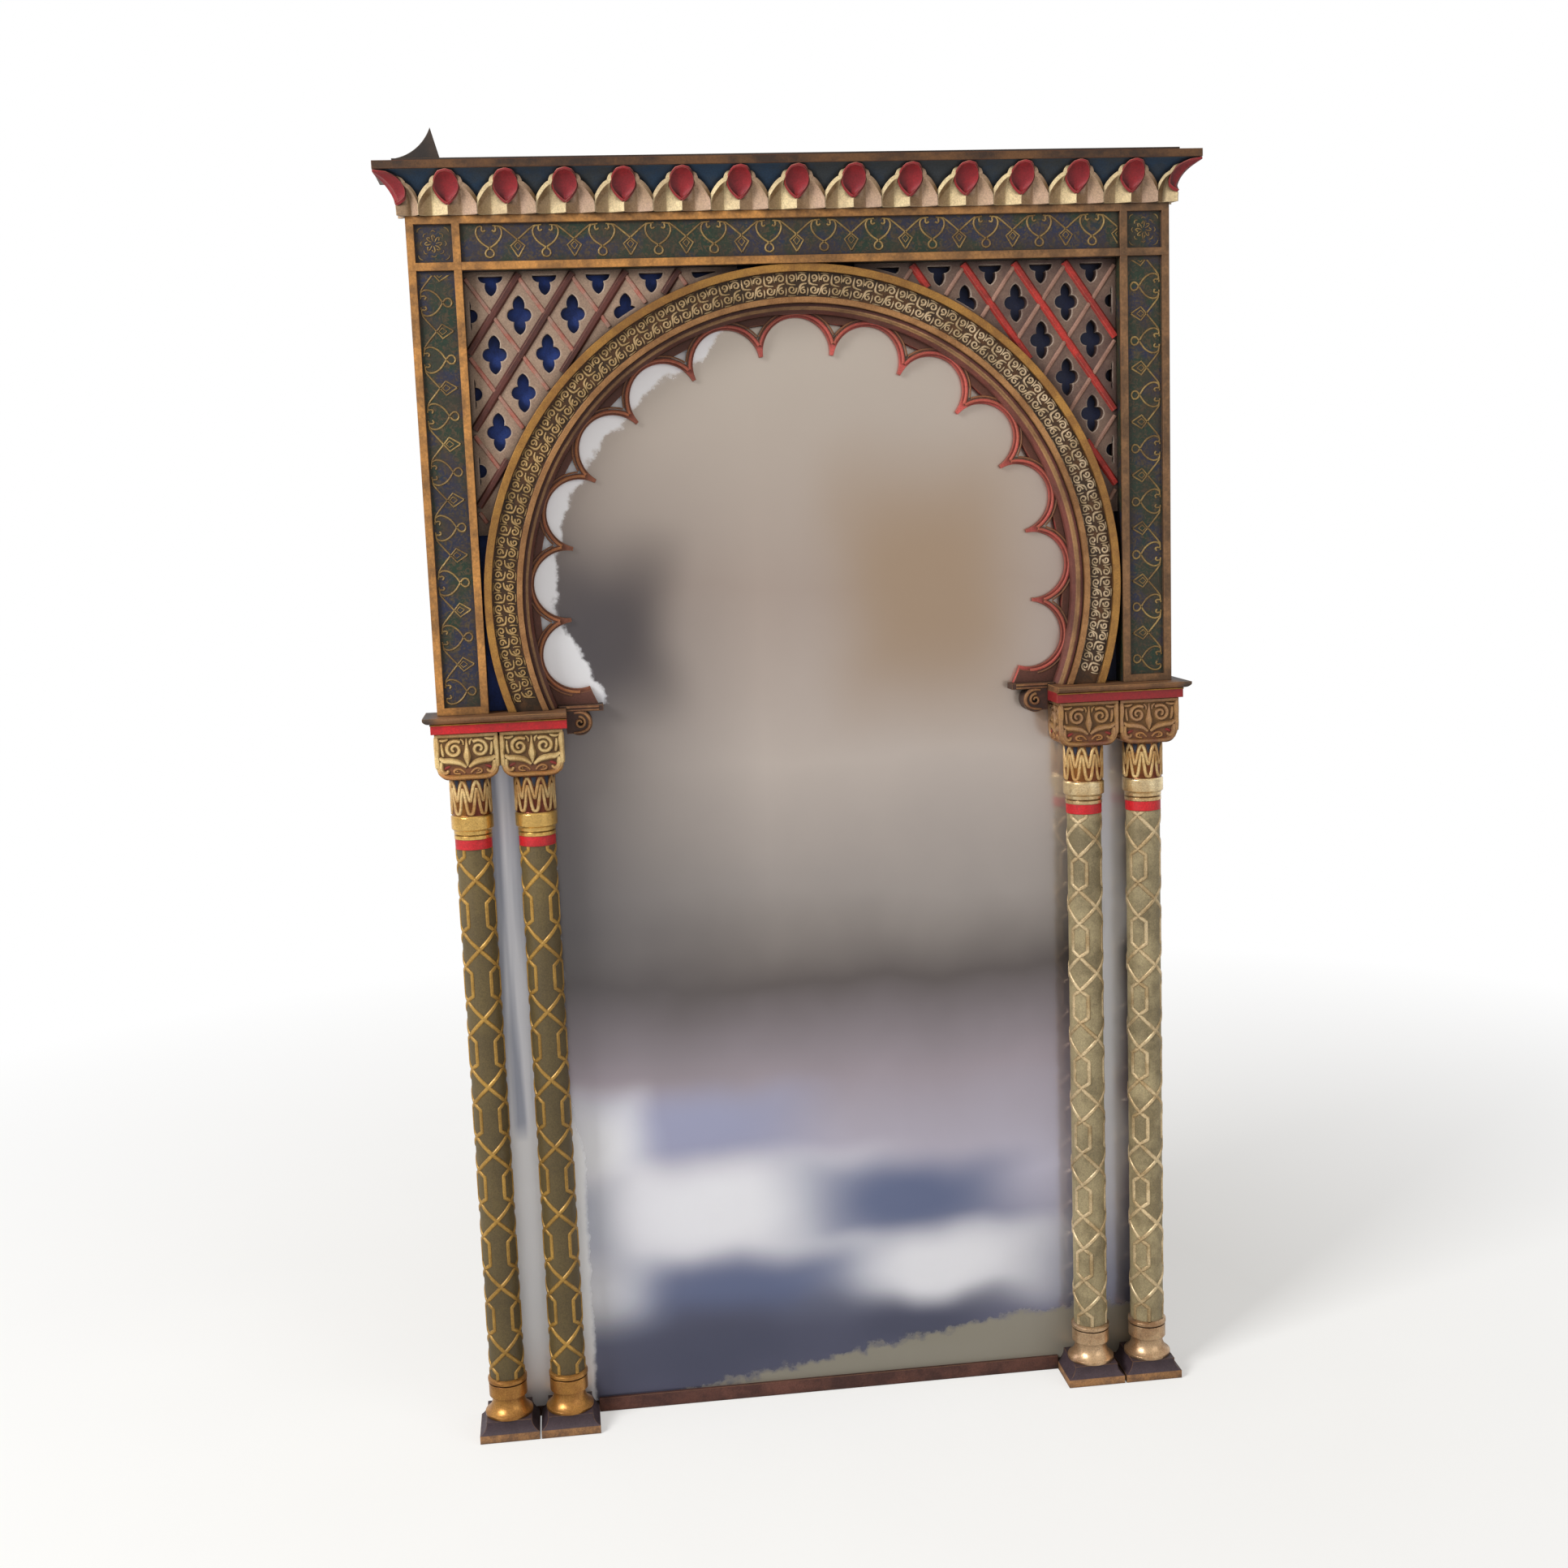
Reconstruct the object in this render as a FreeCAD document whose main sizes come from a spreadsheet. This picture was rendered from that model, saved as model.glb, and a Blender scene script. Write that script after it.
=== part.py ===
# Arched wall mirror in carved and painted wood: a horseshoe arch under a flared cornice,
# carried by two pairs of turned columns in front of one mirror plate.
# X runs to the viewer's right, Y into the wall and Z up. The wall is y = 0 and the feet are z = 0.
import FreeCAD, Part
import math
import os
import Sketcher
from types import SimpleNamespace

doc = FreeCAD.newDocument("arched_mirror")
sheet = doc.addObject("Spreadsheet::Sheet", "sizes")

DRIVING_SIZES = {
    # rear frame
    "rear_thickness": 20,
    "rear_inset": 15,
    "rear_stile_width": 45,
    "rear_rail_height": 45,
    "hanging_rail_height": 70,
    "hanging_rail_drop": 55,
    "rabbet_width": 12,
    "rabbet_depth": 8,
    "tenon_length": 25,
    "tenon_thickness": 6,
    "tenon_shoulder": 8,
    "joint_clearance": 0.1,
    # mirror plate and its backing
    "glass_thickness": 4,
    "glazing_strip_width": 12.7,
    "glass_top_gap": 30,
    "glass_edge_clearance": 0.3,
    "backboard_thickness": 6,
    "bottom_rail_height": 12,
    "bottom_rail_lip": 4,
    "bottom_rail_lip_height": 16,
    # screws
    "screw_radius": 1.6,
    "screw_head_radius": 3.2,
    "screw_head_height": 1.6,
    "backboard_screw_length": 13,
    "frame_screw_length": 38,
    "frame_screw_inset": 6.5,
    "screw_clearance": 0.1,
    # columns
    "column_inset": 29,
    "column_spacing": 68,
    "column_axis_depth": 51,
    "plinth_width": 66,
    "plinth_height": 9,
    "plinth_skirt_height": 15,
    "plinth_skirt_setback": 8,
    "plinth_skirt_front_setback": 2,
    "plinth_skirt_radius": 16,
    "base_height": 44,
    "base_flare_radius": 26.5,
    "base_groove_radius": 18,
    "base_drum_radius": 21.2,
    "base_drum_height": 15,
    "base_ring_radius": 21.8,
    "base_ring_height": 7,
    "shaft_radius": 18.8,
    "shaft_length": 602,
    "collar_radius": 19.7,
    "collar_height": 11,
    "neck_ring_radius": 20.3,
    "neck_ring_height": 4.5,
    "astragal_radius": 22.6,
    "astragal_height": 17,
    "neck_radius": 21,
    "neck_height": 40,
    "spigot_radius": 10,
    "spigot_length": 12,
    "base_spigot_length": 6,
    "capital_width": 67.6,
    "capital_height": 50,
    "capital_corner_radius": 11,
    "capital_volute_radius": 10.5,
    "capital_volute_relief": 3,
    # impost and corbel
    "impost_band_height": 11,
    "impost_slab_height": 6.5,
    "impost_inner_reach": 38,
    "impost_outer_reach": 36,
    "impost_band_front": 84,
    "impost_slab_overhang": 7.5,
    "impost_slab_fillet_height": 2.5,
    "corbel_reach": 40,
    "corbel_ledge_height": 2,
    "corbel_ledge_drop": 4.5,
    "corbel_ledge_bearing": 8,
    "corbel_ledge_front": 46,
    "corbel_scroll_radius": 13.5,
    "corbel_scroll_clearance": 0.5,
    "corbel_eye_radius": 4,
    "corbel_tail_width": 13,
    # alfiz border
    "panel_width": 800,
    "panel_front": 66,
    "border_fillet_width": 8,
    "border_band_width": 38,
    "border_band_sinking": 4,
    "ground_thickness": 14,
    "ground_tongue": 8,
    # arch
    "arch_side_gap": 2,
    "arch_drop": 111.5,
    "arch_front": 64,
    "arch_outer_fillet": 8,
    "arch_inner_fillet": 6,
    "arch_band_width": 26,
    "arch_band_sinking": 5,
    "soffit_width": 9,
    "soffit_front": 57,
    "soffit_step": 7,
    "ring_clearance": 0.2,
    "tracery_thickness": 9,
    "tracery_setback": 1,
    "tracery_foot_height": 17,
    "lobe_margin": 2.5,
    "cusp_setback": 1.5,
    "lobe_rim_width": 4,
    "lobe_rim_sinking": 4,
    "piercing_wall": 6,
    "piercing_setback": 8,
    # lattice in the spandrels
    "lattice_thickness": 12,
    "lattice_pitch_x": 55.2,
    "lattice_pitch_z": 79,
    "lattice_opening_width": 25,
    "lattice_opening_height": 40,
    "lattice_margin": 5,
    "lattice_toe_height": 75,
    "lattice_clearance": 0.2,
    # cornice
    "cornice_projection": 26,
    "cove_height": 42,
    "cove_root_height": 4,
    "cornice_fillet_height": 8,
    "cornice_fillet_overhang": 1.5,
    "cap_height": 5,
    "cap_inset": 17,
    "petal_width": 44,
    "petal_height": 39.5,
    "petal_relief": 4,
    # corner crest
    "crest_width": 48,
    "crest_height": 30,
    "crest_thickness": 16,
    "crest_front": 72,
    # hangers
    "hanger_x": 200,
    "strap_width": 14,
    "strap_length": 34,
    "strap_clearance": 3,
    "strap_thickness": 1.4,
    "barrel_wall": 1.8,
    "ring_wire_radius": 1.75,
    "ring_running_clearance": 0.08,
    "ring_width": 26,
    "ring_length": 24,
    "hanger_screw_length": 10,
    "overrun": 5,
}
# Counts of what repeats.
LOBE_COUNT = 13
PETAL_COUNT = 13
STILE_SCREW_COUNT = 5
LEFT, RIGHT = -1, 1
SIDE_NAMES = {LEFT: "left", RIGHT: "right"}

for row, (alias, value) in enumerate(DRIVING_SIZES.items(), start=1):
    sheet.set(f"A{row}", alias)
    sheet.set(f"B{row}", str(value))
    sheet.setAlias(f"B{row}", alias)
doc.recompute()


class Size:
    """A length kept twice: as the formula that binds a property and as its present value."""

    def __init__(self, text, value):
        self.text = text
        self.value = value

    def __add__(self, other):
        return Size(f"({self.text} + {text_of(other)})", self.value + value_of(other))

    def __sub__(self, other):
        return Size(f"({self.text} - {text_of(other)})", self.value - value_of(other))

    def __mul__(self, share):
        return Size(f"({self.text} * {text_of(share)})", self.value * value_of(share))

    def __truediv__(self, share):
        return Size(f"({self.text} / {text_of(share)})", self.value / value_of(share))

    def __neg__(self):
        return Size(f"(-{self.text})", -self.value)


def text_of(length):
    return length.text if isinstance(length, Size) else str(length)


def value_of(length):
    return length.value if isinstance(length, Size) else float(length)


zero = Size("0", 0.0)
s = SimpleNamespace(**{name: Size("sizes." + name, float(sheet.get(name))) for name in DRIVING_SIZES})

# Heights and depths that follow from the driving sizes.
front_plane = s.rear_thickness + s.glass_thickness
base_bottom = s.plinth_height + s.plinth_skirt_height
shaft_bottom = base_bottom + s.base_height
collar_bottom = shaft_bottom + s.shaft_length
neck_bottom = collar_bottom + s.collar_height
neck_total = s.neck_ring_height * 2 + s.astragal_height + s.neck_height
capital_bottom = neck_bottom + neck_total
band_bottom = capital_bottom + s.capital_height
slab_bottom = band_bottom + s.impost_band_height
impost_top = slab_bottom + s.impost_slab_height
arch_centre = impost_top + s.arch_drop
border_width = s.border_fillet_width * 2 + s.border_band_width
panel_half = s.panel_width / 2
panel_inner = panel_half - border_width
arch_radius = panel_inner - s.arch_side_gap
arch_apex = arch_centre + arch_radius
cornice_bottom = arch_apex + border_width
cove_top = cornice_bottom + s.cove_height
fillet_top = cove_top + s.cornice_fillet_height
cap_top = fillet_top + s.cap_height
cornice_half = panel_half + s.cornice_projection
cornice_front = s.panel_front + s.cornice_projection
ground_front = front_plane + s.ground_thickness
arch_inner = arch_radius - s.arch_outer_fillet - s.arch_band_width - s.arch_inner_fillet
hole_radius = s.screw_radius + s.screw_clearance
rear_half = panel_half - s.rear_inset
glass_half = rear_half - s.glazing_strip_width - s.glass_edge_clearance
glass_top = arch_apex - s.glass_top_gap
column_outer_x = panel_half - s.column_inset
inner_column_x = column_outer_x - s.column_spacing
impost_inner_x = inner_column_x - s.impost_inner_reach
impost_band_outer_x = column_outer_x + s.impost_outer_reach
hanging_rail_bottom = arch_apex - s.hanging_rail_drop
backboard_top = hanging_rail_bottom + s.rabbet_width
hanger_height = backboard_top + s.strap_clearance + s.strap_length
strap_back = s.rabbet_depth - s.strap_thickness
sub_parts = []


def bind(item, **lengths):
    for name, length in lengths.items():
        item.setExpression(name, text_of(length))


def place(item, x=0, y=0, z=0):
    for axis, length in zip("xyz", (x, y, z)):
        item.setExpression(".Placement.Base." + axis, text_of(length))


def across(side, near, far):
    """The two ends of a span on one side of the middle, lower x first."""
    return (near, far) if side == RIGHT else (-far, -near)


def block(name, span, back, front, bottom, top):
    """A squared piece between two sides, two depths from the wall and two heights."""
    item = doc.addObject("Part::Box", name)
    bind(item, Length=span[1] - span[0], Width=front - back, Height=top - bottom)
    place(item, span[0], -front, bottom)
    return item


def drum(name, radius, x, back, front, z):
    """A round piece whose axis runs from the wall to the front."""
    item = doc.addObject("Part::Cylinder", name)
    item.Placement.Rotation = FreeCAD.Rotation(FreeCAD.Vector(1, 0, 0), 90)
    bind(item, Radius=radius, Height=front - back)
    place(item, x, -back, z)
    return item


def fuse(name, items):
    joined = doc.addObject("Part::MultiFuse", name)
    joined.Shapes = items
    return joined


def cut(name, base, tools):
    result = doc.addObject("Part::Cut", name)
    result.Base = base
    result.Tool = tools[0] if len(tools) == 1 else fuse(name + "_tools", tools)
    return result


def common(name, first, second):
    result = doc.addObject("Part::Common", name)
    result.Base = first
    result.Tool = second
    return result


def group(name, items):
    """Like pieces that share a node and stay separate solids."""
    result = doc.addObject("Part::Compound", name)
    result.Links = items
    return result


def finished(label, item):
    item.Label = label
    sub_parts.append(item)
    return item


def drawn(body, role, points):
    """A closed outline on one of the body's own planes, with every corner bound to a formula.

    A point is (u, v), or (u, v, radius, turn) where an arc runs on to the next point: turn is 1
    with the arc's centre to the left of the way round and -1 with it to the right.
    """
    sketch = body.newObject("Sketcher::SketchObject", body.Name + "_outline")
    plane = [feature for feature in body.Origin.OriginFeatures if feature.Role == role][0]
    sketch.AttachmentSupport = [(plane, "")]
    sketch.MapMode = "FlatFace"
    corners = [FreeCAD.Vector(value_of(point[0]), value_of(point[1])) for point in points]
    starts, ends = [], []
    for index, point in enumerate(points):
        start, end = corners[index], corners[(index + 1) % len(corners)]
        if len(point) == 2:
            sketch.addGeometry(Part.LineSegment(start, end))
            starts.append(1)
            ends.append(2)
            continue
        radius, turn = value_of(point[2]), point[3]
        chord = end - start
        rise = math.sqrt(max(radius ** 2 - (chord.Length / 2) ** 2, 0))
        left = FreeCAD.Vector(-chord.y, chord.x).normalize()
        centre = (start + end) / 2 + left * rise * turn
        first, last = (start, end) if turn == 1 else (end, start)
        angles = [math.atan2(tip.y - centre.y, tip.x - centre.x) for tip in (first, last)]
        circle = Part.Circle(centre, FreeCAD.Vector(0, 0, 1), radius)
        sketch.addGeometry(Part.ArcOfCircle(circle, angles[0], angles[1]))
        starts.append(1 if turn == 1 else 2)
        ends.append(2 if turn == 1 else 1)
    for index, point in enumerate(points):
        following = (index + 1) % len(points)
        sketch.addConstraint(
            Sketcher.Constraint("Coincident", index, ends[index], following, starts[following]))
        for kind, axis, length in (("DistanceX", -2, point[0]), ("DistanceY", -1, point[1])):
            value = value_of(length)
            if value == 0:
                sketch.addConstraint(Sketcher.Constraint("PointOnObject", index, starts[index], axis))
                continue
            tip, origin = (index, starts[index]), (-1, 1)
            order = origin + tip if value > 0 else tip + origin
            number = sketch.addConstraint(Sketcher.Constraint(kind, *order, abs(value)))
            signed = length if value > 0 else -length
            sketch.setExpression(f"Constraints[{number}]", text_of(signed))
        if len(point) > 2:
            number = sketch.addConstraint(Sketcher.Constraint("Radius", index, value_of(point[2])))
            sketch.setExpression(f"Constraints[{number}]", text_of(point[2]))
    return sketch


def turned(name, role, points):
    """A piece turned about the second axis of its outline's plane."""
    body = doc.addObject("PartDesign::Body", name)
    sketch = drawn(body, role, points)
    turning = body.newObject("PartDesign::Revolution", name + "_turning")
    turning.Profile = sketch
    turning.ReferenceAxis = (sketch, ["V_Axis"])
    turning.Angle = 360
    return body


def moulding(name, role, points, length):
    """A run of constant section, drawn on one of the body's planes and padded to its length."""
    body = doc.addObject("PartDesign::Body", name)
    sketch = drawn(body, role, points)
    run = body.newObject("PartDesign::Pad", name + "_run")
    run.Profile = sketch
    bind(run, Length=length)
    return body


def screw(name, x, y, z, length, clearance=0):
    """A countersunk screw driven from the back towards the front, or the hole that takes it."""
    head = doc.addObject("Part::Cone", name + "_head")
    shank = doc.addObject("Part::Cylinder", name + "_shank")
    for item in (head, shank):
        item.Placement.Rotation = FreeCAD.Rotation(FreeCAD.Vector(1, 0, 0), 90)
        place(item, x, y, z)
    bind(head, Radius1=s.screw_head_radius + clearance, Radius2=s.screw_radius + clearance,
         Height=s.screw_head_height)
    bind(shank, Radius=s.screw_radius + clearance, Height=length + clearance)
    return fuse(name, [head, shank])


# Rear frame: two stiles, a bottom rail, a hanging rail and a top rail, tenoned together.
# The backboard lies in a rabbet round the back.
stile_inner = rear_half - s.rear_stile_width
opening_half = stile_inner + s.rabbet_width
backboard_bottom = s.rear_rail_height - s.rabbet_width
tenon_back = s.rear_thickness - s.tenon_shoulder / 2 - s.tenon_thickness
rail_spans = {
    "rear_rail_bottom": (zero, zero, s.rear_rail_height),
    "hanging_rail": (s.rabbet_depth, hanging_rail_bottom, hanging_rail_bottom + s.hanging_rail_height),
    "rear_rail_top": (zero, cove_top - s.rear_rail_height, cove_top),
}


def tenon(name, side, bottom, top, clearance):
    near = stile_inner - s.overrun
    far = stile_inner + s.tenon_length + clearance
    back = tenon_back - clearance
    front = tenon_back + s.tenon_thickness + clearance
    return block(name, across(side, near, far), back, front,
                 bottom + s.tenon_shoulder - clearance, top - s.tenon_shoulder + clearance)


MIDDLE_SHARE = 0.5
edge_screws = []
for number in range(STILE_SCREW_COUNT):
    climb_share = (number + MIDDLE_SHARE) / STILE_SCREW_COUNT
    height = backboard_bottom + (backboard_top - backboard_bottom) * climb_share
    for side in (LEFT, RIGHT):
        edge_screws.append(((opening_half - s.rabbet_width / 2) * side, height))
for side in (LEFT, RIGHT):
    for height in (backboard_bottom + s.rabbet_width / 2, backboard_top - s.rabbet_width / 2):
        edge_screws.append((opening_half / 2 * side, height))
backboard_back = s.rabbet_depth - s.backboard_thickness


def edge_holes(name):
    return [drum(f"{name}_hole_{index}", hole_radius, x, backboard_back,
                 backboard_back + s.backboard_screw_length + s.screw_clearance, z)
            for index, (x, z) in enumerate(edge_screws)]


FRAME_SCREW_SHARES = (0.12, 0.5, 0.88)
STRAP_SCREW_SHARES = (0.45, 0.8)
frame_screw_x = rear_half - s.frame_screw_inset
border_run = arch_apex - impost_top
frame_screw_heights = [impost_top + border_run * share for share in FRAME_SCREW_SHARES]
frame_screw_heights.append(capital_bottom + s.capital_height / 2)

for side, side_name in SIDE_NAMES.items():
    name = "rear_stile_" + side_name
    plank = block(name + "_plank", across(side, stile_inner, rear_half),
                  zero, s.rear_thickness, zero, cove_top)
    tools = [block(name + "_rabbet", across(side, stile_inner - s.overrun, opening_half),
                   -s.overrun, s.rabbet_depth, backboard_bottom, backboard_top)]
    for rail, (back, bottom, top) in rail_spans.items():
        tools.append(tenon(f"{name}_mortise_{rail}", side, bottom, top, s.joint_clearance))
    tools += edge_holes(name)
    for index, height in enumerate(frame_screw_heights):
        tools.append(screw(f"{name}_bore_{index}", frame_screw_x * side, zero, height,
                           s.frame_screw_length, s.screw_clearance))
    finished(name, cut(name, plank, tools))

for name, (back, bottom, top) in rail_spans.items():
    inner = stile_inner - s.joint_clearance
    plank = block(name + "_plank", (-inner, inner), back, s.rear_thickness, bottom, top)
    tenons = [tenon(f"{name}_tenon_{side_name}", side, bottom, top, 0)
              for side, side_name in SIDE_NAMES.items()]
    rail = fuse(name + "_with_tenons", [plank] + tenons)
    tools = edge_holes(name)
    if name == "rear_rail_bottom":
        tools.append(block(name + "_rabbet", (-rear_half, rear_half),
                           -s.overrun, s.rabbet_depth, backboard_bottom, top + s.overrun))
    if name == "hanging_rail":
        for side, side_name in SIDE_NAMES.items():
            for index, share in enumerate(STRAP_SCREW_SHARES):
                tools.append(screw(f"{name}_pilot_{side_name}_{index}", s.hanger_x * side, -strap_back,
                                   hanger_height - s.strap_length * share, s.hanger_screw_length,
                                   s.screw_clearance))
    finished(name, cut(name, rail, tools) if name != "rear_rail_top" else rail)

# Backboard: a thin panel screwed into the rabbet, with an air gap behind the plate.
backboard_half = opening_half - s.glass_edge_clearance
panel = block("backboard_panel", (-backboard_half, backboard_half), backboard_back, s.rabbet_depth,
              backboard_bottom + s.glass_edge_clearance, backboard_top - s.glass_edge_clearance)
countersinks = [screw(f"backboard_countersink_{index}", x, -backboard_back, z,
                      s.backboard_screw_length, s.screw_clearance)
                for index, (x, z) in enumerate(edge_screws)]
finished("backboard", cut("backboard", panel, countersinks))
finished("backboard_screws", group("backboard_screws", [
    screw(f"backboard_screw_{index}", x, -backboard_back, z, s.backboard_screw_length)
    for index, (x, z) in enumerate(edge_screws)]))

# Mirror plate: one sheet of silvered glass in front of the rear frame.
# It stands on the bottom rail, between two strips of its own thickness.
plate = block("mirror_glass", (-glass_half, glass_half), s.rear_thickness,
              front_plane, s.bottom_rail_height, glass_top)
finished("mirror_glass", plate)

sill = block("bottom_rail_sill", (-rear_half, rear_half), s.rear_thickness,
             front_plane, zero, s.bottom_rail_height)
lip_half = inner_column_x - s.plinth_width / 2 - s.joint_clearance
lip = block("bottom_rail_lip", (-lip_half, lip_half), front_plane, front_plane + s.bottom_rail_lip,
            zero, s.bottom_rail_lip_height)
finished("bottom_rail", fuse("bottom_rail", [sill, lip]))

for side, side_name in SIDE_NAMES.items():
    name = "glazing_strip_" + side_name
    strip = block(name + "_strip", across(side, glass_half + s.glass_edge_clearance,
                                          rear_half),
                  s.rear_thickness, front_plane, s.bottom_rail_height, cornice_bottom)
    bores = [drum(f"{name}_bore_{index}", hole_radius, frame_screw_x * side,
                  s.rear_thickness - s.overrun, front_plane + s.overrun, height)
             for index, height in enumerate(frame_screw_heights)]
    finished(name, cut(name, strip, bores))

finished("frame_screws", group("frame_screws", [
    screw(f"frame_screw_{side_name}_{index}", frame_screw_x * side, zero, height,
          s.frame_screw_length)
    for side, side_name in SIDE_NAMES.items() for index, height in enumerate(frame_screw_heights)]))

# Columns: plinth, turned base, shaft, red collar, turned neck and carved capital.
# Each is spigoted into the next along one vertical axis.
socket_radius = s.spigot_radius + s.joint_clearance
socket_depth = s.spigot_length + s.joint_clearance
groove_height = s.base_height - s.base_ring_height - s.base_drum_height
FLARE_TOP_SHARE = 0.9
FLARE_EDGE_SHARE = 0.15
FLARE_CURVE_SHARE = 0.9
RING_CHAMFER_SHARES = (0.25, 0.75)
NECK_GROOVE_SHARES = (0.8, 1.2)
NECK_WAIST_SHARE = 0.4
ASTRAGAL_EDGE_SHARES = (0.12, 0.88)


def base_outline():
    flare_top = groove_height * FLARE_TOP_SHARE
    flare_edge = flare_top * FLARE_EDGE_SHARE
    drum_top = groove_height + s.base_drum_height
    ring_low, ring_high = [drum_top + s.base_ring_height * share for share in RING_CHAMFER_SHARES]
    return [
        (zero, -s.base_spigot_length), (s.spigot_radius, -s.base_spigot_length),
        (s.spigot_radius, zero), (s.base_flare_radius, zero),
        (s.base_flare_radius, flare_edge, flare_top * FLARE_CURVE_SHARE, -1),
        (s.base_groove_radius, flare_top), (s.base_groove_radius, groove_height),
        (s.base_drum_radius, groove_height), (s.base_drum_radius, drum_top),
        (s.shaft_radius, drum_top), (s.base_ring_radius, ring_low), (s.base_ring_radius, ring_high),
        (s.shaft_radius, s.base_height), (socket_radius, s.base_height),
        (socket_radius, s.base_height - socket_depth), (zero, s.base_height - socket_depth)]


def shaft_outline():
    top = s.shaft_length
    spigot_top = top + s.collar_height + s.spigot_length
    return [
        (zero, -s.spigot_length), (s.spigot_radius, -s.spigot_length), (s.spigot_radius, zero),
        (s.shaft_radius, zero), (s.shaft_radius, top), (s.spigot_radius, top),
        (s.spigot_radius, spigot_top), (zero, spigot_top)]


def collar_outline():
    return [(socket_radius, zero), (s.collar_radius, zero), (s.collar_radius, s.collar_height),
            (socket_radius, s.collar_height)]


def neck_outline():
    ring_top = s.neck_ring_height
    groove_low, groove_high = [ring_top * share for share in NECK_GROOVE_SHARES]
    second_top = ring_top * 2
    edge_low, edge_high = [second_top + s.astragal_height * share for share in ASTRAGAL_EDGE_SHARES]
    astragal_top = second_top + s.astragal_height
    top = neck_total
    waist = s.neck_ring_radius - s.neck_ring_height * NECK_WAIST_SHARE
    return [
        (socket_radius, zero), (s.neck_ring_radius, zero), (s.neck_ring_radius, groove_low),
        (waist, ring_top), (s.neck_ring_radius, groove_high), (s.neck_ring_radius, second_top),
        (s.astragal_radius, edge_low), (s.astragal_radius, edge_high), (s.neck_radius, astragal_top),
        (s.neck_radius, top), (s.spigot_radius, top), (s.spigot_radius, top + s.spigot_length),
        (zero, top + s.spigot_length), (zero, socket_depth), (socket_radius, socket_depth)]


def capital_block(name):
    """Cushion capital: a block with rounded lower corners and two volute rolls on its face."""
    half = s.capital_width / 2
    corner = s.capital_corner_radius
    depth = (s.column_axis_depth - front_plane) * 2
    body = moulding(name, "XZ_Plane", [
        (-half, s.capital_height), (-half, corner, corner, 1), (-half + corner, zero),
        (half - corner, zero, corner, 1), (half, corner), (half, s.capital_height)], depth)
    return body, depth


def returned(name, front_points, end_points, run, depth):
    """A moulding that returns round its ends: a front section met by an end section."""
    front_run = moulding(name + "_front", "YZ_Plane", front_points, run)
    place(front_run, -run / 2)
    end_run = moulding(name + "_ends", "XZ_Plane", end_points, depth)
    return common(name, front_run, end_run)


def plinth_skirt(name, axis_x):
    """The hollow slope from the plinth's front and side edges up to the turned base."""
    half = s.plinth_width / 2
    top_half = half - s.plinth_skirt_setback
    front = s.column_axis_depth * 2 - front_plane
    top_front = front - s.plinth_skirt_front_setback
    bottom, top, radius = s.plinth_height, base_bottom, s.plinth_skirt_radius
    front_points = [
        (-front_plane, bottom), (-front_plane, top), (-top_front, top, radius, -1), (-front, bottom)]
    end_points = [
        (axis_x - half, bottom, radius, 1), (axis_x - top_half, top), (axis_x + top_half, top, radius, 1),
        (axis_x + half, bottom)]
    return returned(name, front_points, end_points, s.panel_width * 2, front + s.overrun)


collars = []
for side, side_name in SIDE_NAMES.items():
    for rank, x in (("outer", column_outer_x), ("inner", inner_column_x)):
        tail = f"{rank}_{side_name}"
        axis_x = x * side
        axis_y = -s.column_axis_depth
        half = s.plinth_width / 2
        slab = block("plinth_slab_" + tail, (axis_x - half, axis_x + half), front_plane,
                     s.column_axis_depth * 2 - front_plane, zero, s.plinth_height)
        socket = doc.addObject("Part::Cylinder", "plinth_socket_" + tail)
        bind(socket, Radius=socket_radius, Height=s.plinth_height)
        place(socket, axis_x, axis_y, base_bottom - s.base_spigot_length - s.joint_clearance)
        stepped = fuse("plinth_stepped_" + tail, [slab, plinth_skirt("plinth_skirt_" + tail, axis_x)])
        finished("plinth_" + tail, cut("plinth_" + tail, stepped, [socket]))
        for piece, points, bottom in (
                ("column_base", base_outline(), base_bottom),
                ("column_shaft", shaft_outline(), shaft_bottom),
                ("collar", collar_outline(), collar_bottom),
                ("column_neck", neck_outline(), neck_bottom)):
            body = turned(f"{piece}_{tail}", "XZ_Plane", points)
            place(body, axis_x, axis_y, bottom)
            if piece == "collar":
                collars.append(body)
            else:
                finished(f"{piece}_{tail}", body)
        body, depth = capital_block("capital_cushion_" + tail)
        place(body, axis_x, -front_plane, capital_bottom)
        rolls = []
        roll_x = s.capital_width / 2 - s.capital_volute_radius - s.capital_volute_relief
        roll_z = band_bottom - s.capital_volute_radius - s.capital_volute_relief
        for turn in (LEFT, RIGHT):
            rolls.append(drum(f"capital_roll_{tail}_{SIDE_NAMES[turn]}", s.capital_volute_radius,
                              axis_x + roll_x * turn, s.column_axis_depth,
                              front_plane + depth + s.capital_volute_relief, roll_z))
        carved = fuse("capital_carved_" + tail, [body] + rolls)
        socket = doc.addObject("Part::Cylinder", "capital_socket_" + tail)
        bind(socket, Radius=socket_radius, Height=socket_depth + s.overrun)
        place(socket, axis_x, axis_y, capital_bottom - s.overrun)
        tools = [socket]
        if rank == "outer":
            tools.append(drum("capital_bore_" + tail, hole_radius, frame_screw_x * side,
                              front_plane - s.overrun, s.frame_screw_length + s.screw_clearance,
                              frame_screw_heights[-1]))
        finished("capital_" + tail, cut("capital_" + tail, carved, tools))
finished("red_collars", group("red_collars", collars))


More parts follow.
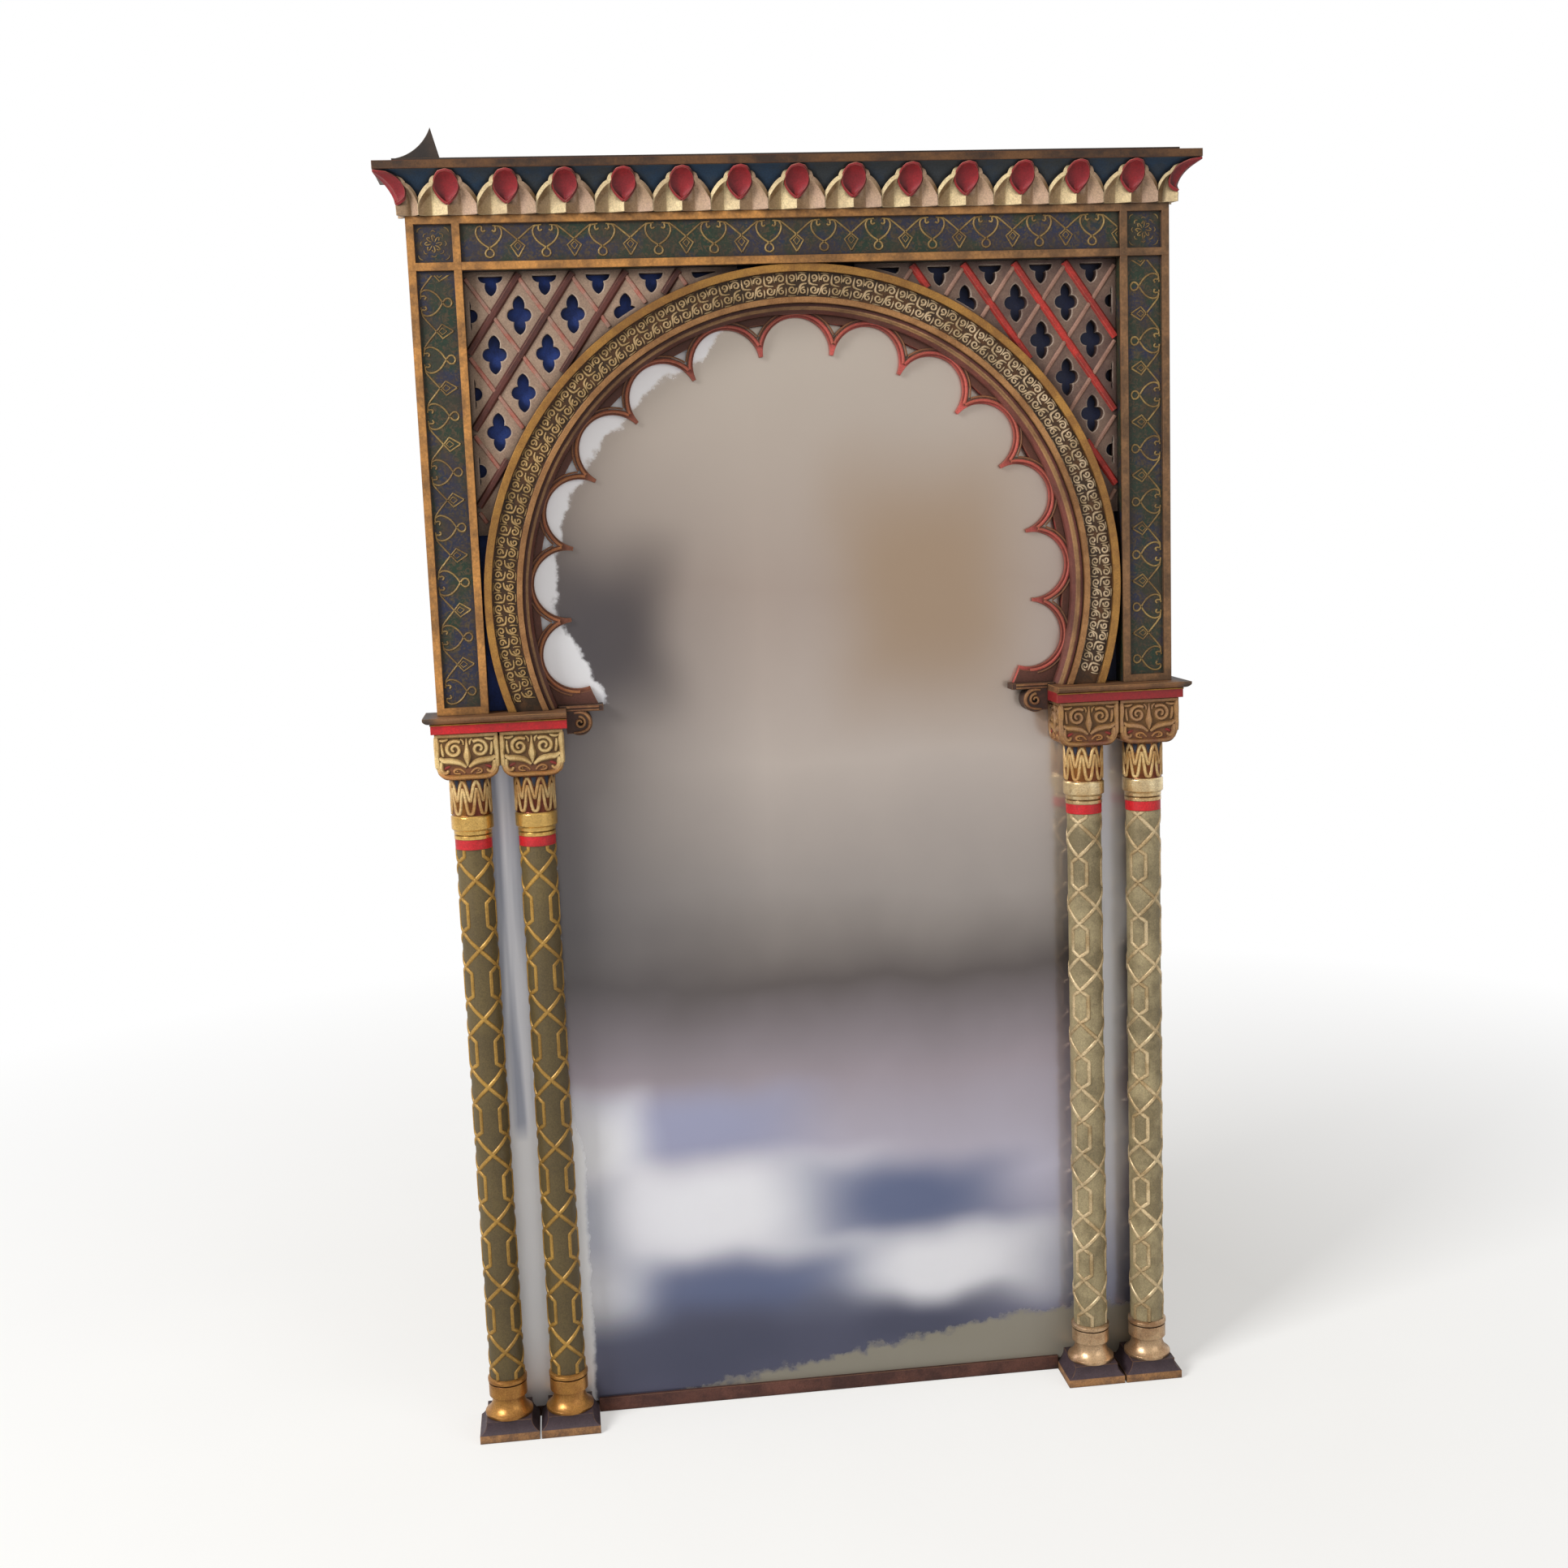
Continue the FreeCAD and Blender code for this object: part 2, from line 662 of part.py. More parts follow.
# Imposts: a red band over each pair of capitals, under a dark slab with a rounded lower edge.
for side, side_name in SIDE_NAMES.items():
    band = block("impost_band_" + side_name, across(side, impost_inner_x, impost_band_outer_x),
                 front_plane, s.impost_band_front, band_bottom, slab_bottom)
    finished("impost_band_" + side_name, band)
    name = "impost_slab_" + side_name
    over = s.impost_slab_overhang
    rounding = s.impost_slab_height - s.impost_slab_fillet_height
    outer = impost_band_outer_x
    slab_front = s.impost_band_front + over
    slab_outer = outer + over
    front_points = [
        (-front_plane, slab_bottom), (-s.impost_band_front, slab_bottom, over, -1),
        (-slab_front, slab_bottom + rounding), (-slab_front, impost_top), (-front_plane, impost_top)]
    end_points = [
        (impost_inner_x * side, slab_bottom), (outer * side, slab_bottom, over, side),
        (slab_outer * side, slab_bottom + rounding), (slab_outer * side, impost_top),
        (impost_inner_x * side, impost_top)]
    slab = returned(name, front_points, end_points, s.panel_width * 2, slab_front + s.overrun)
    finished(name, slab)

# Corbels: a scroll at the inner end of each impost, under a ledge that takes the foot of the tracery.
CORBEL_SCROLL_SHARE = 0.9
CORBEL_TAIL_SHARE = 0.85
tracery_radius = arch_inner - s.soffit_width - s.ring_clearance
corbel_inner_x = impost_inner_x - s.corbel_reach
ledge_top = impost_top + s.corbel_ledge_height
ledge_bottom = impost_top - s.corbel_ledge_drop
for side, side_name in SIDE_NAMES.items():
    name = "corbel_" + side_name
    ledge_outer = impost_inner_x + s.corbel_ledge_bearing
    ledge = block(name + "_ledge", across(side, corbel_inner_x, ledge_outer), front_plane,
                  s.corbel_ledge_front, impost_top, ledge_top)
    drop = block(name + "_drop", across(side, corbel_inner_x, impost_inner_x), front_plane,
                 s.corbel_ledge_front, ledge_bottom, ledge_top)
    scroll_x = impost_inner_x - s.corbel_scroll_radius - s.corbel_scroll_clearance
    scroll_z = ledge_bottom - s.corbel_scroll_radius * CORBEL_SCROLL_SHARE
    scroll = drum(name + "_scroll", s.corbel_scroll_radius, scroll_x * side, front_plane,
                  s.corbel_ledge_front, scroll_z)
    tail_span = across(side, impost_inner_x - s.corbel_tail_width, impost_inner_x)
    tail = block(name + "_tail", tail_span, front_plane, s.corbel_ledge_front,
                 scroll_z - s.corbel_scroll_radius * CORBEL_TAIL_SHARE,
                 ledge_bottom + s.corbel_ledge_drop / 2)
    eye = drum(name + "_eye", s.corbel_eye_radius, scroll_x * side,
               s.corbel_ledge_front - s.corbel_eye_radius, s.corbel_ledge_front + s.overrun, scroll_z)
    finished(name, cut(name, fuse(name + "_bracket", [ledge, drop, scroll, tail]), [eye]))

# Spandrel ground: one board behind the lattices, with the round of the arch cut out of it.
ground_half = panel_inner + s.ground_tongue - s.joint_clearance
board = block("spandrel_board", (-ground_half, ground_half), front_plane, ground_front, impost_top,
              arch_apex + s.ground_tongue - s.joint_clearance)
bite = drum("spandrel_bite", arch_inner, zero, front_plane - s.overrun, ground_front + s.overrun,
            arch_centre)
finished("spandrel_ground", cut("spandrel_ground", board, [bite]))

# Border: two stiles and a top rail with a sunk band between two fillets, and two corner blocks.
fillet = s.border_fillet_width
band_face = s.panel_front - s.border_band_sinking
tongue_front = ground_front + s.joint_clearance


def border_section(side):
    outer, inner = panel_half, panel_inner
    tongue = inner + s.ground_tongue
    points = [
        (outer, front_plane), (outer, s.panel_front), (outer - fillet, s.panel_front),
        (outer - fillet, band_face), (inner + fillet, band_face), (inner + fillet, s.panel_front),
        (inner, s.panel_front), (inner, tongue_front), (tongue, tongue_front), (tongue, front_plane)]
    return [(across_x * side, -depth) for across_x, depth in points]


for side, side_name in SIDE_NAMES.items():
    name = "border_stile_" + side_name
    run = moulding(name + "_run", "XY_Plane", border_section(side), border_run)
    place(run, zero, zero, impost_top)
    foot = block(name + "_foot", across(side, panel_inner + fillet, panel_half - fillet), band_face,
                 s.panel_front, impost_top, impost_top + fillet)
    body = fuse(name + "_closed", [run, foot])
    bores = [drum(f"{name}_bore_{index}", hole_radius, frame_screw_x * side, front_plane - s.overrun,
                  s.frame_screw_length + s.screw_clearance, height)
             for index, height in enumerate(frame_screw_heights[:-1])]
    finished(name, cut(name, body, bores))
    name = "corner_block_" + side_name
    square = block(name + "_square", across(side, panel_inner, panel_half), front_plane, s.panel_front,
                   arch_apex, cornice_bottom)
    sinking = block(name + "_sinking", across(side, panel_inner + fillet, panel_half - fillet), band_face,
                    s.panel_front + s.overrun, arch_apex + fillet, cornice_bottom - fillet)
    rebate = block(name + "_rebate", across(side, panel_inner - s.overrun, panel_inner + s.ground_tongue),
                   front_plane - s.overrun, tongue_front, arch_apex - s.overrun, arch_apex + s.ground_tongue)
    finished(name, cut(name, square, [sinking, rebate]))

top_section = [
    (-front_plane, cornice_bottom), (-s.panel_front, cornice_bottom),
    (-s.panel_front, cornice_bottom - fillet), (-band_face, cornice_bottom - fillet),
    (-band_face, arch_apex + fillet), (-s.panel_front, arch_apex + fillet),
    (-s.panel_front, arch_apex), (-tongue_front, arch_apex),
    (-tongue_front, arch_apex + s.ground_tongue), (-front_plane, arch_apex + s.ground_tongue)]
top_run = moulding("border_top", "YZ_Plane", top_section, panel_inner * 2)
place(top_run, -panel_inner)
finished("border_top", top_run)


def arch_ring(name, section):
    """A ring turned about the arch's centre and cut off level on the impost."""
    ring = turned(name + "_ring", "XY_Plane", section)
    place(ring, zero, zero, arch_centre)
    below = block(name + "_below", (-s.panel_width, s.panel_width), -s.overrun, s.panel_width,
                  -s.overrun, impost_top)
    return cut(name, ring, [below])


# Arch band: a carved ring between two gold fillets, laid on the ground board.
band_outer = arch_radius - s.arch_outer_fillet
band_inner = arch_inner + s.arch_inner_fillet
sunk_face = s.arch_front - s.arch_band_sinking
finished("arch_band", arch_ring("arch_band", [
    (arch_inner, -ground_front), (arch_radius, -ground_front), (arch_radius, -s.arch_front),
    (band_outer, -s.arch_front), (band_outer, -sunk_face), (band_inner, -sunk_face),
    (band_inner, -s.arch_front), (arch_inner, -s.arch_front)]))

# Soffit: a dark stepped moulding inside the arch band.
soffit_outer = arch_inner - s.ring_clearance
soffit_inner = arch_inner - s.soffit_width
soffit_middle = (soffit_outer + soffit_inner) / 2
finished("arch_soffit", arch_ring("arch_soffit", [
    (soffit_inner, -front_plane), (soffit_outer, -front_plane), (soffit_outer, -s.soffit_front),
    (soffit_middle, -s.soffit_front), (soffit_middle, -(s.soffit_front - s.soffit_step)),
    (soffit_inner, -(s.soffit_front - s.soffit_step * 2))]))

# Tracery: a thin ring whose inner edge is a row of round lobes with pierced cusps between them.
# The lowest lobes end level on the corbel ledges.
tracery_back = front_plane + s.tracery_setback
tracery_front = tracery_back + s.tracery_thickness
LOBE_SHARE = 0.1228
lobe_radius = tracery_radius * LOBE_SHARE
lobe_circle_radius = tracery_radius - s.lobe_margin - lobe_radius
cusp_circle_radius = lobe_circle_radius - s.cusp_setback
foot_drop = s.arch_drop - s.corbel_ledge_height - s.tracery_foot_height
foot_angle = math.degrees(math.asin(foot_drop.value / cusp_circle_radius.value))
lobe_angle = (180 + 2 * foot_angle) / LOBE_COUNT


def polar(radius, angle):
    """A point on a circle about the arch's centre, with the angle in degrees from +X."""
    turn = math.radians(angle)
    return radius * math.cos(turn), arch_centre + radius * math.sin(turn)


def through(name, radius, x, z):
    """A round tool through the whole thickness of the tracery."""
    return drum(name, radius, x, tracery_back - s.overrun, tracery_front + s.overrun, z)


def tracery_base(name, top):
    """A tool that takes away what lies below a height."""
    return block(name, (-s.panel_width, s.panel_width), tracery_back - s.overrun * 2,
                 tracery_front + s.overrun * 2, -s.overrun, top)


lobe_places = [polar(lobe_circle_radius, -foot_angle + (number + MIDDLE_SHARE) * lobe_angle)
               for number in range(LOBE_COUNT)]
disc = drum("tracery_disc", tracery_radius, zero, tracery_back, tracery_front, arch_centre)
tools = [through("tracery_void", cusp_circle_radius, zero, arch_centre),
         tracery_base("tracery_below", ledge_top)]
walls = [through("piercing_void", cusp_circle_radius, zero, arch_centre),
         tracery_base("piercing_below", lobe_places[0][1])]
for number, (x, z) in enumerate(lobe_places):
    tools.append(through(f"tracery_lobe_{number}", lobe_radius, x, z))
    tools.append(drum(f"tracery_rim_{number}", lobe_radius + s.lobe_rim_width, x,
                      tracery_front - s.lobe_rim_sinking, tracery_front + s.overrun, z))
    walls.append(drum(f"piercing_wall_{number}", lobe_radius + s.piercing_wall, x,
                      tracery_back - s.overrun * 2, tracery_front + s.overrun * 2, z))
field = through("piercing_field", tracery_radius - s.piercing_setback, zero, arch_centre)
tools.append(cut("cusp_piercings", field, walls))
finished("lobed_tracery", cut("lobed_tracery", disc, tools))

# Lattices: a rhombic net of ribs pierced by lobed diamonds, filling each corner above the arch.
OPENING_TIP_SHARES = (0.0, 0.5)
OPENING_SHOULDER_SHARES = (0.23, 0.33)
OPENING_NOTCH_SHARES = (0.22, 0.17)
OPENING_SIDE_SHARES = (0.5, 0.0)
LEAST_OPENING_SHARE = 0.12
LATTICE_TOE_SHARE = 0.18


def opening_face(x, z):
    """A diamond with pointed ends and a round lobe on each side."""
    width, height = s.lattice_opening_width.value, s.lattice_opening_height.value

    def tip(shares, flip, turn):
        return FreeCAD.Vector(x + flip * shares[0] * width, 0, z + turn * shares[1] * height)

    edges = []
    for flip, turn in ((1, 1), (1, -1), (-1, -1), (-1, 1)):
        names = (OPENING_TIP_SHARES, OPENING_SHOULDER_SHARES, OPENING_NOTCH_SHARES)
        top, shoulder, notch = [tip(shares, flip, turn) for shares in names]
        edges.append(Part.Arc(top, shoulder, notch).toShape())
    for flip in (1, -1):
        ends = [tip(OPENING_NOTCH_SHARES, flip, turn) for turn in (1, -1)]
        edges.append(Part.Arc(ends[0], tip(OPENING_SIDE_SHARES, flip, 0), ends[1]).toShape())
    return Part.Face(Part.Wire(Part.__sortEdges__(edges)))


def corner_face(margin):
    """The flat field of the right-hand spandrel, kept off its edges by a margin."""
    left, right = arch_radius.value * LATTICE_TOE_SHARE, panel_inner.value - margin
    bottom, top = arch_centre.value + s.lattice_toe_height.value, arch_apex.value - margin
    corners = [(left, bottom), (right, bottom), (right, top), (left, top), (left, bottom)]
    field = Part.Face(Part.makePolygon([FreeCAD.Vector(x, 0, z) for x, z in corners]))
    centre = FreeCAD.Vector(0, 0, arch_centre.value)
    circle = Part.Circle(centre, FreeCAD.Vector(0, 1, 0), arch_radius.value + margin)
    return field.cut(Part.Face(Part.Wire(circle.toShape())))


def lattice_shape():
    """The net: rows of openings half a pitch apart, hung from the panel's top inner corner."""
    margin = s.lattice_margin.value
    field = corner_face(s.lattice_clearance.value)
    inset = corner_face(margin)
    pitch_x, pitch_z = s.lattice_pitch_x.value, s.lattice_pitch_z.value
    whole = opening_face(0, 0).Area
    for row in range(int(panel_inner.value / pitch_z) * 2 + 2):
        z = arch_apex.value - margin - row * pitch_z / 2
        first_x = panel_inner.value - (pitch_x / 2 if row % 2 == 0 else 0)
        for column in range(int(panel_inner.value / pitch_x)):
            opening = opening_face(first_x - column * pitch_x, z).common(inset)
            if opening.Area > whole * LEAST_OPENING_SHARE:
                field = field.cut(opening)
    depth = FreeCAD.Vector(0, -s.lattice_thickness.value, 0)
    return field.Faces[0].extrude(depth)


right_lattice = lattice_shape()
middle = FreeCAD.Vector(0, 0, 0)
across_middle = FreeCAD.Vector(1, 0, 0)
for side, side_name in SIDE_NAMES.items():
    net = doc.addObject("Part::Feature", "lattice_" + side_name)
    net.Shape = right_lattice if side == RIGHT else right_lattice.mirror(middle, across_middle)
    place(net, zero, -ground_front, zero)
    finished("lattice_" + side_name, net)

# Cornice: a cove that flares round three sides, a gold fillet board and a dark cap board.
flare = s.cornice_projection
root_top = cornice_bottom + s.cove_root_height
COVE_CURVE_SHARE = 1.1
cove_radius = (s.cove_height - s.cove_root_height) * COVE_CURVE_SHARE


def cove(name, relief):
    """The cove grown outwards by a relief, as one mitred solid."""
    front, side = s.panel_front + relief, panel_half + relief
    front_points = [
        (-front_plane, cornice_bottom), (-front, cornice_bottom), (-front, root_top, cove_radius, 1),
        (-front - flare, cove_top), (-front_plane, cove_top)]
    end_points = [
        (-side, cornice_bottom), (side, cornice_bottom), (side, root_top, cove_radius, -1),
        (side + flare, cove_top), (-side - flare, cove_top, cove_radius, -1), (-side, root_top)]
    return returned(name, front_points, end_points, s.panel_width * 2, cornice_front + s.overrun)


finished("cornice_cove", cove("cornice_cove", zero))

fillet_half = cornice_half + s.cornice_fillet_overhang
fillet_board = block("cornice_fillet", (-fillet_half, fillet_half), zero,
                     cornice_front + s.cornice_fillet_overhang, cove_top, fillet_top)
finished("cornice_fillet", fillet_board)
cap_half = cornice_half - s.cap_inset
cap_board = block("cornice_cap", (-cap_half, cap_half), zero, cornice_front - s.cap_inset, fillet_top,
                  cap_top)
finished("cornice_cap", cap_board)

# Petals: leaves in low relief along the cove, one to each pitch across the front.
PETAL_FOOT_SHARES = (0.16, 0.0)
PETAL_SIDE_SHARES = (0.5, 0.62)
PETAL_HIP_SHARES = (0.4, 0.28)
PETAL_TOP_SHARES = (0.0, 1.0)


def petal_prism(name, x):
    """A leaf outline with a narrow foot and a round head, run from the middle out to the front."""
    def point(shares, flip):
        across_x, up_z = s.petal_width.value * shares[0], s.petal_height.value * shares[1]
        return FreeCAD.Vector(x.value + flip * across_x, 0, cornice_bottom.value + up_z)

    foot_left, foot_right = [point(PETAL_FOOT_SHARES, flip) for flip in (-1, 1)]
    side_left, side_right = [point(PETAL_SIDE_SHARES, flip) for flip in (-1, 1)]
    hip_left, hip_right = [point(PETAL_HIP_SHARES, flip) for flip in (-1, 1)]
    edges = [
        Part.LineSegment(foot_left, foot_right).toShape(),
        Part.Arc(foot_right, hip_right, side_right).toShape(),
        Part.Arc(side_right, point(PETAL_TOP_SHARES, 0), side_left).toShape(),
        Part.Arc(side_left, hip_left, foot_left).toShape()]
    leaf = Part.Face(Part.Wire(edges))
    prism = doc.addObject("Part::Feature", name)
    prism.Shape = leaf.extrude(FreeCAD.Vector(0, -(cornice_front + s.overrun * 2).value, 0))
    return prism


PETAL_OUT_SHARE = 0.6
petal_run = panel_half + s.cornice_projection * PETAL_OUT_SHARE
petal_pitch = petal_run * 2 / (PETAL_COUNT + 1)
prisms = [petal_prism(f"petal_prism_{number}", petal_pitch * (number - (PETAL_COUNT - 1) / 2))
          for number in range(PETAL_COUNT)]
skin = cut("petal_skin", cove("petal_grown", s.petal_relief), [cove("petal_core", zero)])
finished("cornice_petals", common("cornice_petals", skin, group("petal_prisms", prisms)))

# Corner crest: a small horn of dark wood on the left end of the cap.
CREST_PEAK_SHARE = 0.83
crest = moulding("corner_crest", "XZ_Plane", [
    (-cap_half, cap_top), (-cap_half + s.crest_width, cap_top),
    (-cap_half + s.crest_width * CREST_PEAK_SHARE, cap_top + s.crest_height, s.crest_width, -1)],
    s.crest_thickness)
place(crest, zero, -(s.crest_front - s.crest_thickness), zero)
finished("corner_crest", crest)

# Hangers: a folded strap screwed to the hanging rail, and a ring that swings in its barrel.
barrel_inner = s.ring_wire_radius + s.ring_running_clearance
barrel_radius = barrel_inner + s.barrel_wall
axis_depth = s.rabbet_depth - barrel_radius
barrel_half = s.strap_width / 2


def rod(name, radius, x, length, y, z):
    """A round bar along X."""
    item = doc.addObject("Part::Cylinder", name)
    item.Placement.Rotation = FreeCAD.Rotation(FreeCAD.Vector(0, 1, 0), 90)
    bind(item, Radius=radius, Height=length)
    place(item, x, y, z)
    return item


hanger_screws = []
for side, side_name in SIDE_NAMES.items():
    name = "hanger_strap_" + side_name
    centre_x = s.hanger_x * side
    span = (centre_x - barrel_half, centre_x + barrel_half)
    leaf = block(name + "_leaf", span, strap_back, s.rabbet_depth, hanger_height - s.strap_length,
                 hanger_height)
    barrel = rod(name + "_barrel", barrel_radius, span[0], s.strap_width, -axis_depth, hanger_height)
    bore = rod(name + "_bore", barrel_inner, span[0] - s.overrun, s.strap_width + s.overrun * 2,
               -axis_depth, hanger_height)
    tools = [bore]
    for index, share in enumerate(STRAP_SCREW_SHARES):
        height = hanger_height - s.strap_length * share
        tools.append(screw(f"{name}_hole_{index}", centre_x, -strap_back, height,
                           s.hanger_screw_length, s.screw_clearance))
        hanger_screws.append(screw(f"hanger_screw_{side_name}_{index}", centre_x, -strap_back, height,
                                   s.hanger_screw_length))
    finished(name, cut(name, fuse(name + "_folded", [leaf, barrel]), tools))

    name = "hanger_ring_" + side_name
    half = s.ring_width / 2
    leg = s.ring_length - half
    pieces = [rod(name + "_bar", s.ring_wire_radius, centre_x - half, s.ring_width, -axis_depth,
                  hanger_height)]
    for turn in (LEFT, RIGHT):
        bend = doc.addObject("Part::Sphere", f"{name}_bend_{SIDE_NAMES[turn]}")
        bind(bend, Radius=s.ring_wire_radius)
        place(bend, centre_x + half * turn, -axis_depth, hanger_height)
        limb = doc.addObject("Part::Cylinder", f"{name}_limb_{SIDE_NAMES[turn]}")
        bind(limb, Radius=s.ring_wire_radius, Height=leg)
        place(limb, centre_x + half * turn, -axis_depth, hanger_height - leg)
        pieces += [bend, limb]
    bow = doc.addObject("Part::Torus", name + "_bow")
    bow.Placement.Rotation = FreeCAD.Rotation(FreeCAD.Vector(1, 0, 0), -90)
    bow.Angle3 = 180
    bind(bow, Radius1=half, Radius2=s.ring_wire_radius)
    place(bow, centre_x, -axis_depth, hanger_height - leg)
    finished(name, fuse(name, pieces + [bow]))
finished("hanger_screws", group("hanger_screws", hanger_screws))

doc.recompute()
for item in doc.Objects:
    if "Invalid" in item.State or "Error" in item.State:
        raise RuntimeError(f"{item.Label} failed: {item.State}")
for item in sub_parts:
    if item.Shape.isNull() or not item.Shape.isValid() or not item.Shape.Solids:
        raise RuntimeError(f"{item.Label} has no sound solid")
os.makedirs("parts", exist_ok=True)
for item in sub_parts:
    item.Shape.exportStep(f"parts/{item.Label}.step")
print(len(sub_parts), "sub-parts,", sum(len(item.Shape.Solids) for item in sub_parts), "solids")
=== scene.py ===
# Arched wall mirror in carved and painted wood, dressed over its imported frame.
# A horseshoe arch with a lobed edge stands on paired columns, under a border and a flared cornice.
from functools import partial
from math import asin, atan2, cos, dist, hypot, pi, radians, sin, sqrt

import bpy
from mathutils import Matrix, Vector


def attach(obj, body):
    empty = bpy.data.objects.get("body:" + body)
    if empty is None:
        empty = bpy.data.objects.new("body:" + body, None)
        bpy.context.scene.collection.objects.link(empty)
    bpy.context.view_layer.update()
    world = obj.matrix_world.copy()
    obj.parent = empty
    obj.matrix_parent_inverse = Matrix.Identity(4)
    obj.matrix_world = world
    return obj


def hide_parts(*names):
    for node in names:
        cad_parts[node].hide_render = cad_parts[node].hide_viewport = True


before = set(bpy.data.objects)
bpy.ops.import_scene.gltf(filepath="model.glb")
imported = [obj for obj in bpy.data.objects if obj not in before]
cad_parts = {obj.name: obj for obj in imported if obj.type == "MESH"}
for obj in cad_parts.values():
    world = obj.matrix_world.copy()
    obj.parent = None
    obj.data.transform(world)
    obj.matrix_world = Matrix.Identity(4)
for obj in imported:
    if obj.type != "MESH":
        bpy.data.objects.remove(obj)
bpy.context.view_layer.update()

# Rear frame: two stiles and three rails of pine, planed, tenoned together and left bare.
# It lies on the wall and carries everything else, so it is seen from behind and at its edges.
# The two glazing strips beside the plate are cut from the same wood.
MM = 0.001


def colour(code):
    """The linear colour that a shader socket takes, from an sRGB hex code."""
    parts = [int(code[start:start + 2], 16) / 255 for start in (0, 2, 4)]
    return [part / 12.92 if part <= 0.04045 else ((part + 0.055) / 1.055) ** 2.4 for part in parts] + [1.0]


def add_node(tree, kind, inputs=None, mode=None, **settings):
    """One shader node. Its mode is the data type of a Mix or the operation of a Math or VectorMath node.

    An input takes a value, a hex colour, a socket, or a node for its live output.
    """
    node = tree.nodes.new("ShaderNode" + kind)
    if mode:
        setattr(node, "data_type" if kind == "Mix" else "operation", mode)
    for name, value in settings.items():
        setattr(node, name, value)
    for socket, value in (inputs or {}).items():
        if isinstance(value, bpy.types.Node):
            value = next(output for output in value.outputs if output.enabled)
        if isinstance(value, bpy.types.NodeSocket):
            tree.links.new(value, node.inputs[socket])
        else:
            node.inputs[socket].default_value = colour(value) if isinstance(value, str) else value
    return node


def start_finish(name):
    """A new material with an empty tree, the function that adds its nodes, and Object coordinates."""
    material = bpy.data.materials.new(name)
    material.use_nodes = True
    material.node_tree.nodes.clear()
    add = partial(add_node, material.node_tree)
    return material, add, add("TexCoord").outputs["Object"]


def end_finish(add, inputs):
    add("OutputMaterial", {"Surface": add("BsdfPrincipled", inputs)})


def bare_wood(name, pale, dark, along, streak_mm, run_mm):
    """Planed softwood: streaks of early and late wood along the grain, grey with age, and matt."""
    material, add, coords = start_finish(name)
    spread = [1 / (streak_mm * MM)] * 3
    spread[along] = 1 / (run_mm * MM)
    place = add("Mapping", {"Vector": coords, "Scale": spread})
    streaks = add("TexNoise", {
        "Vector": place, "Scale": 1.0, "Detail": 6.0, "Roughness": 0.62, "Distortion": 0.4})
    age = add("TexNoise", {"Vector": coords, "Scale": 1 / (180 * MM), "Detail": 4.0})
    band = add("MapRange", {"Value": streaks, "From Min": 0.36, "From Max": 0.66})
    wood = add("Mix", {0: band, 6: dark, 7: pale}, "RGBA")
    grime = add("MapRange", {"Value": age, "From Min": 0.4, "From Max": 0.75, "To Max": 0.5})
    tone = add("Mix", {0: grime, 6: wood, 7: "5A4A3A"}, "RGBA")
    matt = add("MapRange", {"Value": streaks, "To Min": 0.85, "To Max": 0.62})
    relief = add("Bump", {"Height": streaks, "Strength": 0.35, "Distance": 0.4 * MM})
    end_finish(add, {"Base Color": tone, "Roughness": matt, "Normal": relief})
    return material


def dress(material, *names):
    """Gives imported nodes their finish."""
    for name in names:
        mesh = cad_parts[name].data
        mesh.materials.clear()
        mesh.materials.append(material)


pine_upright = bare_wood("aged_pine_upright", "B58E5E", "8A6238", along=2, streak_mm=7, run_mm=260)
pine_level = bare_wood("aged_pine_level", "B08A5A", "855E36", along=0, streak_mm=7, run_mm=260)
dress(pine_upright, "rear_stile_left", "rear_stile_right", "glazing_strip_left", "glazing_strip_right")
dress(pine_level, "rear_rail_bottom", "hanging_rail", "rear_rail_top")

# Backboard: one thin sawn panel let into a rabbet, held by fourteen countersunk steel screws.
# It keeps dust off the silvering. The frame screws come through the stiles from the same side.
back_panel = bare_wood("sawn_back_panel", "9C7B53", "74552F", along=2, streak_mm=11, run_mm=420)
dress(back_panel, "backboard")


def dull_steel(name, bright, rust):
    """Bright-drawn steel gone dull: fine scratches in its gloss and brown specks of rust."""
    material, add, coords = start_finish(name)
    specks = add("TexNoise", {"Vector": coords, "Scale": 1 / (3 * MM), "Detail": 5.0})
    spots = add("MapRange", {"Value": specks, "From Min": 0.52, "From Max": 0.68})
    tone = add("Mix", {0: spots, 6: bright, 7: rust}, "RGBA")
    gloss = add("MapRange", {"Value": specks, "To Min": 0.28, "To Max": 0.6})
    relief = add("Bump", {"Height": specks, "Strength": 0.2, "Distance": 0.1 * MM})
    end_finish(add, {"Base Color": tone, "Roughness": gloss, "Metallic": 1.0, "Normal": relief})
    return material


dress(dull_steel("screw_steel", "8E8A84", "6B4A32"), "backboard_screws", "frame_screws", "hanger_screws")

# Mirror plate: silvered glass, warm above and lavender grey below, with white and slate patches lying low:
# partly silver clouded with age and partly a painted reflection of a room. The silver has gone along its
# left edge, and a brown stain creeps up from the right-hand end of the sill. Its gloss is soft, so it shows
# the room as blurs.
CLOUD_AND_REFLECTION_TONES = {"white": "F0F1F8", "lavender": "A9ACCA", "slate": "6F799B", "dark": "5A5D72", "tan": "B39C84",
               "smoke": "665D59"}
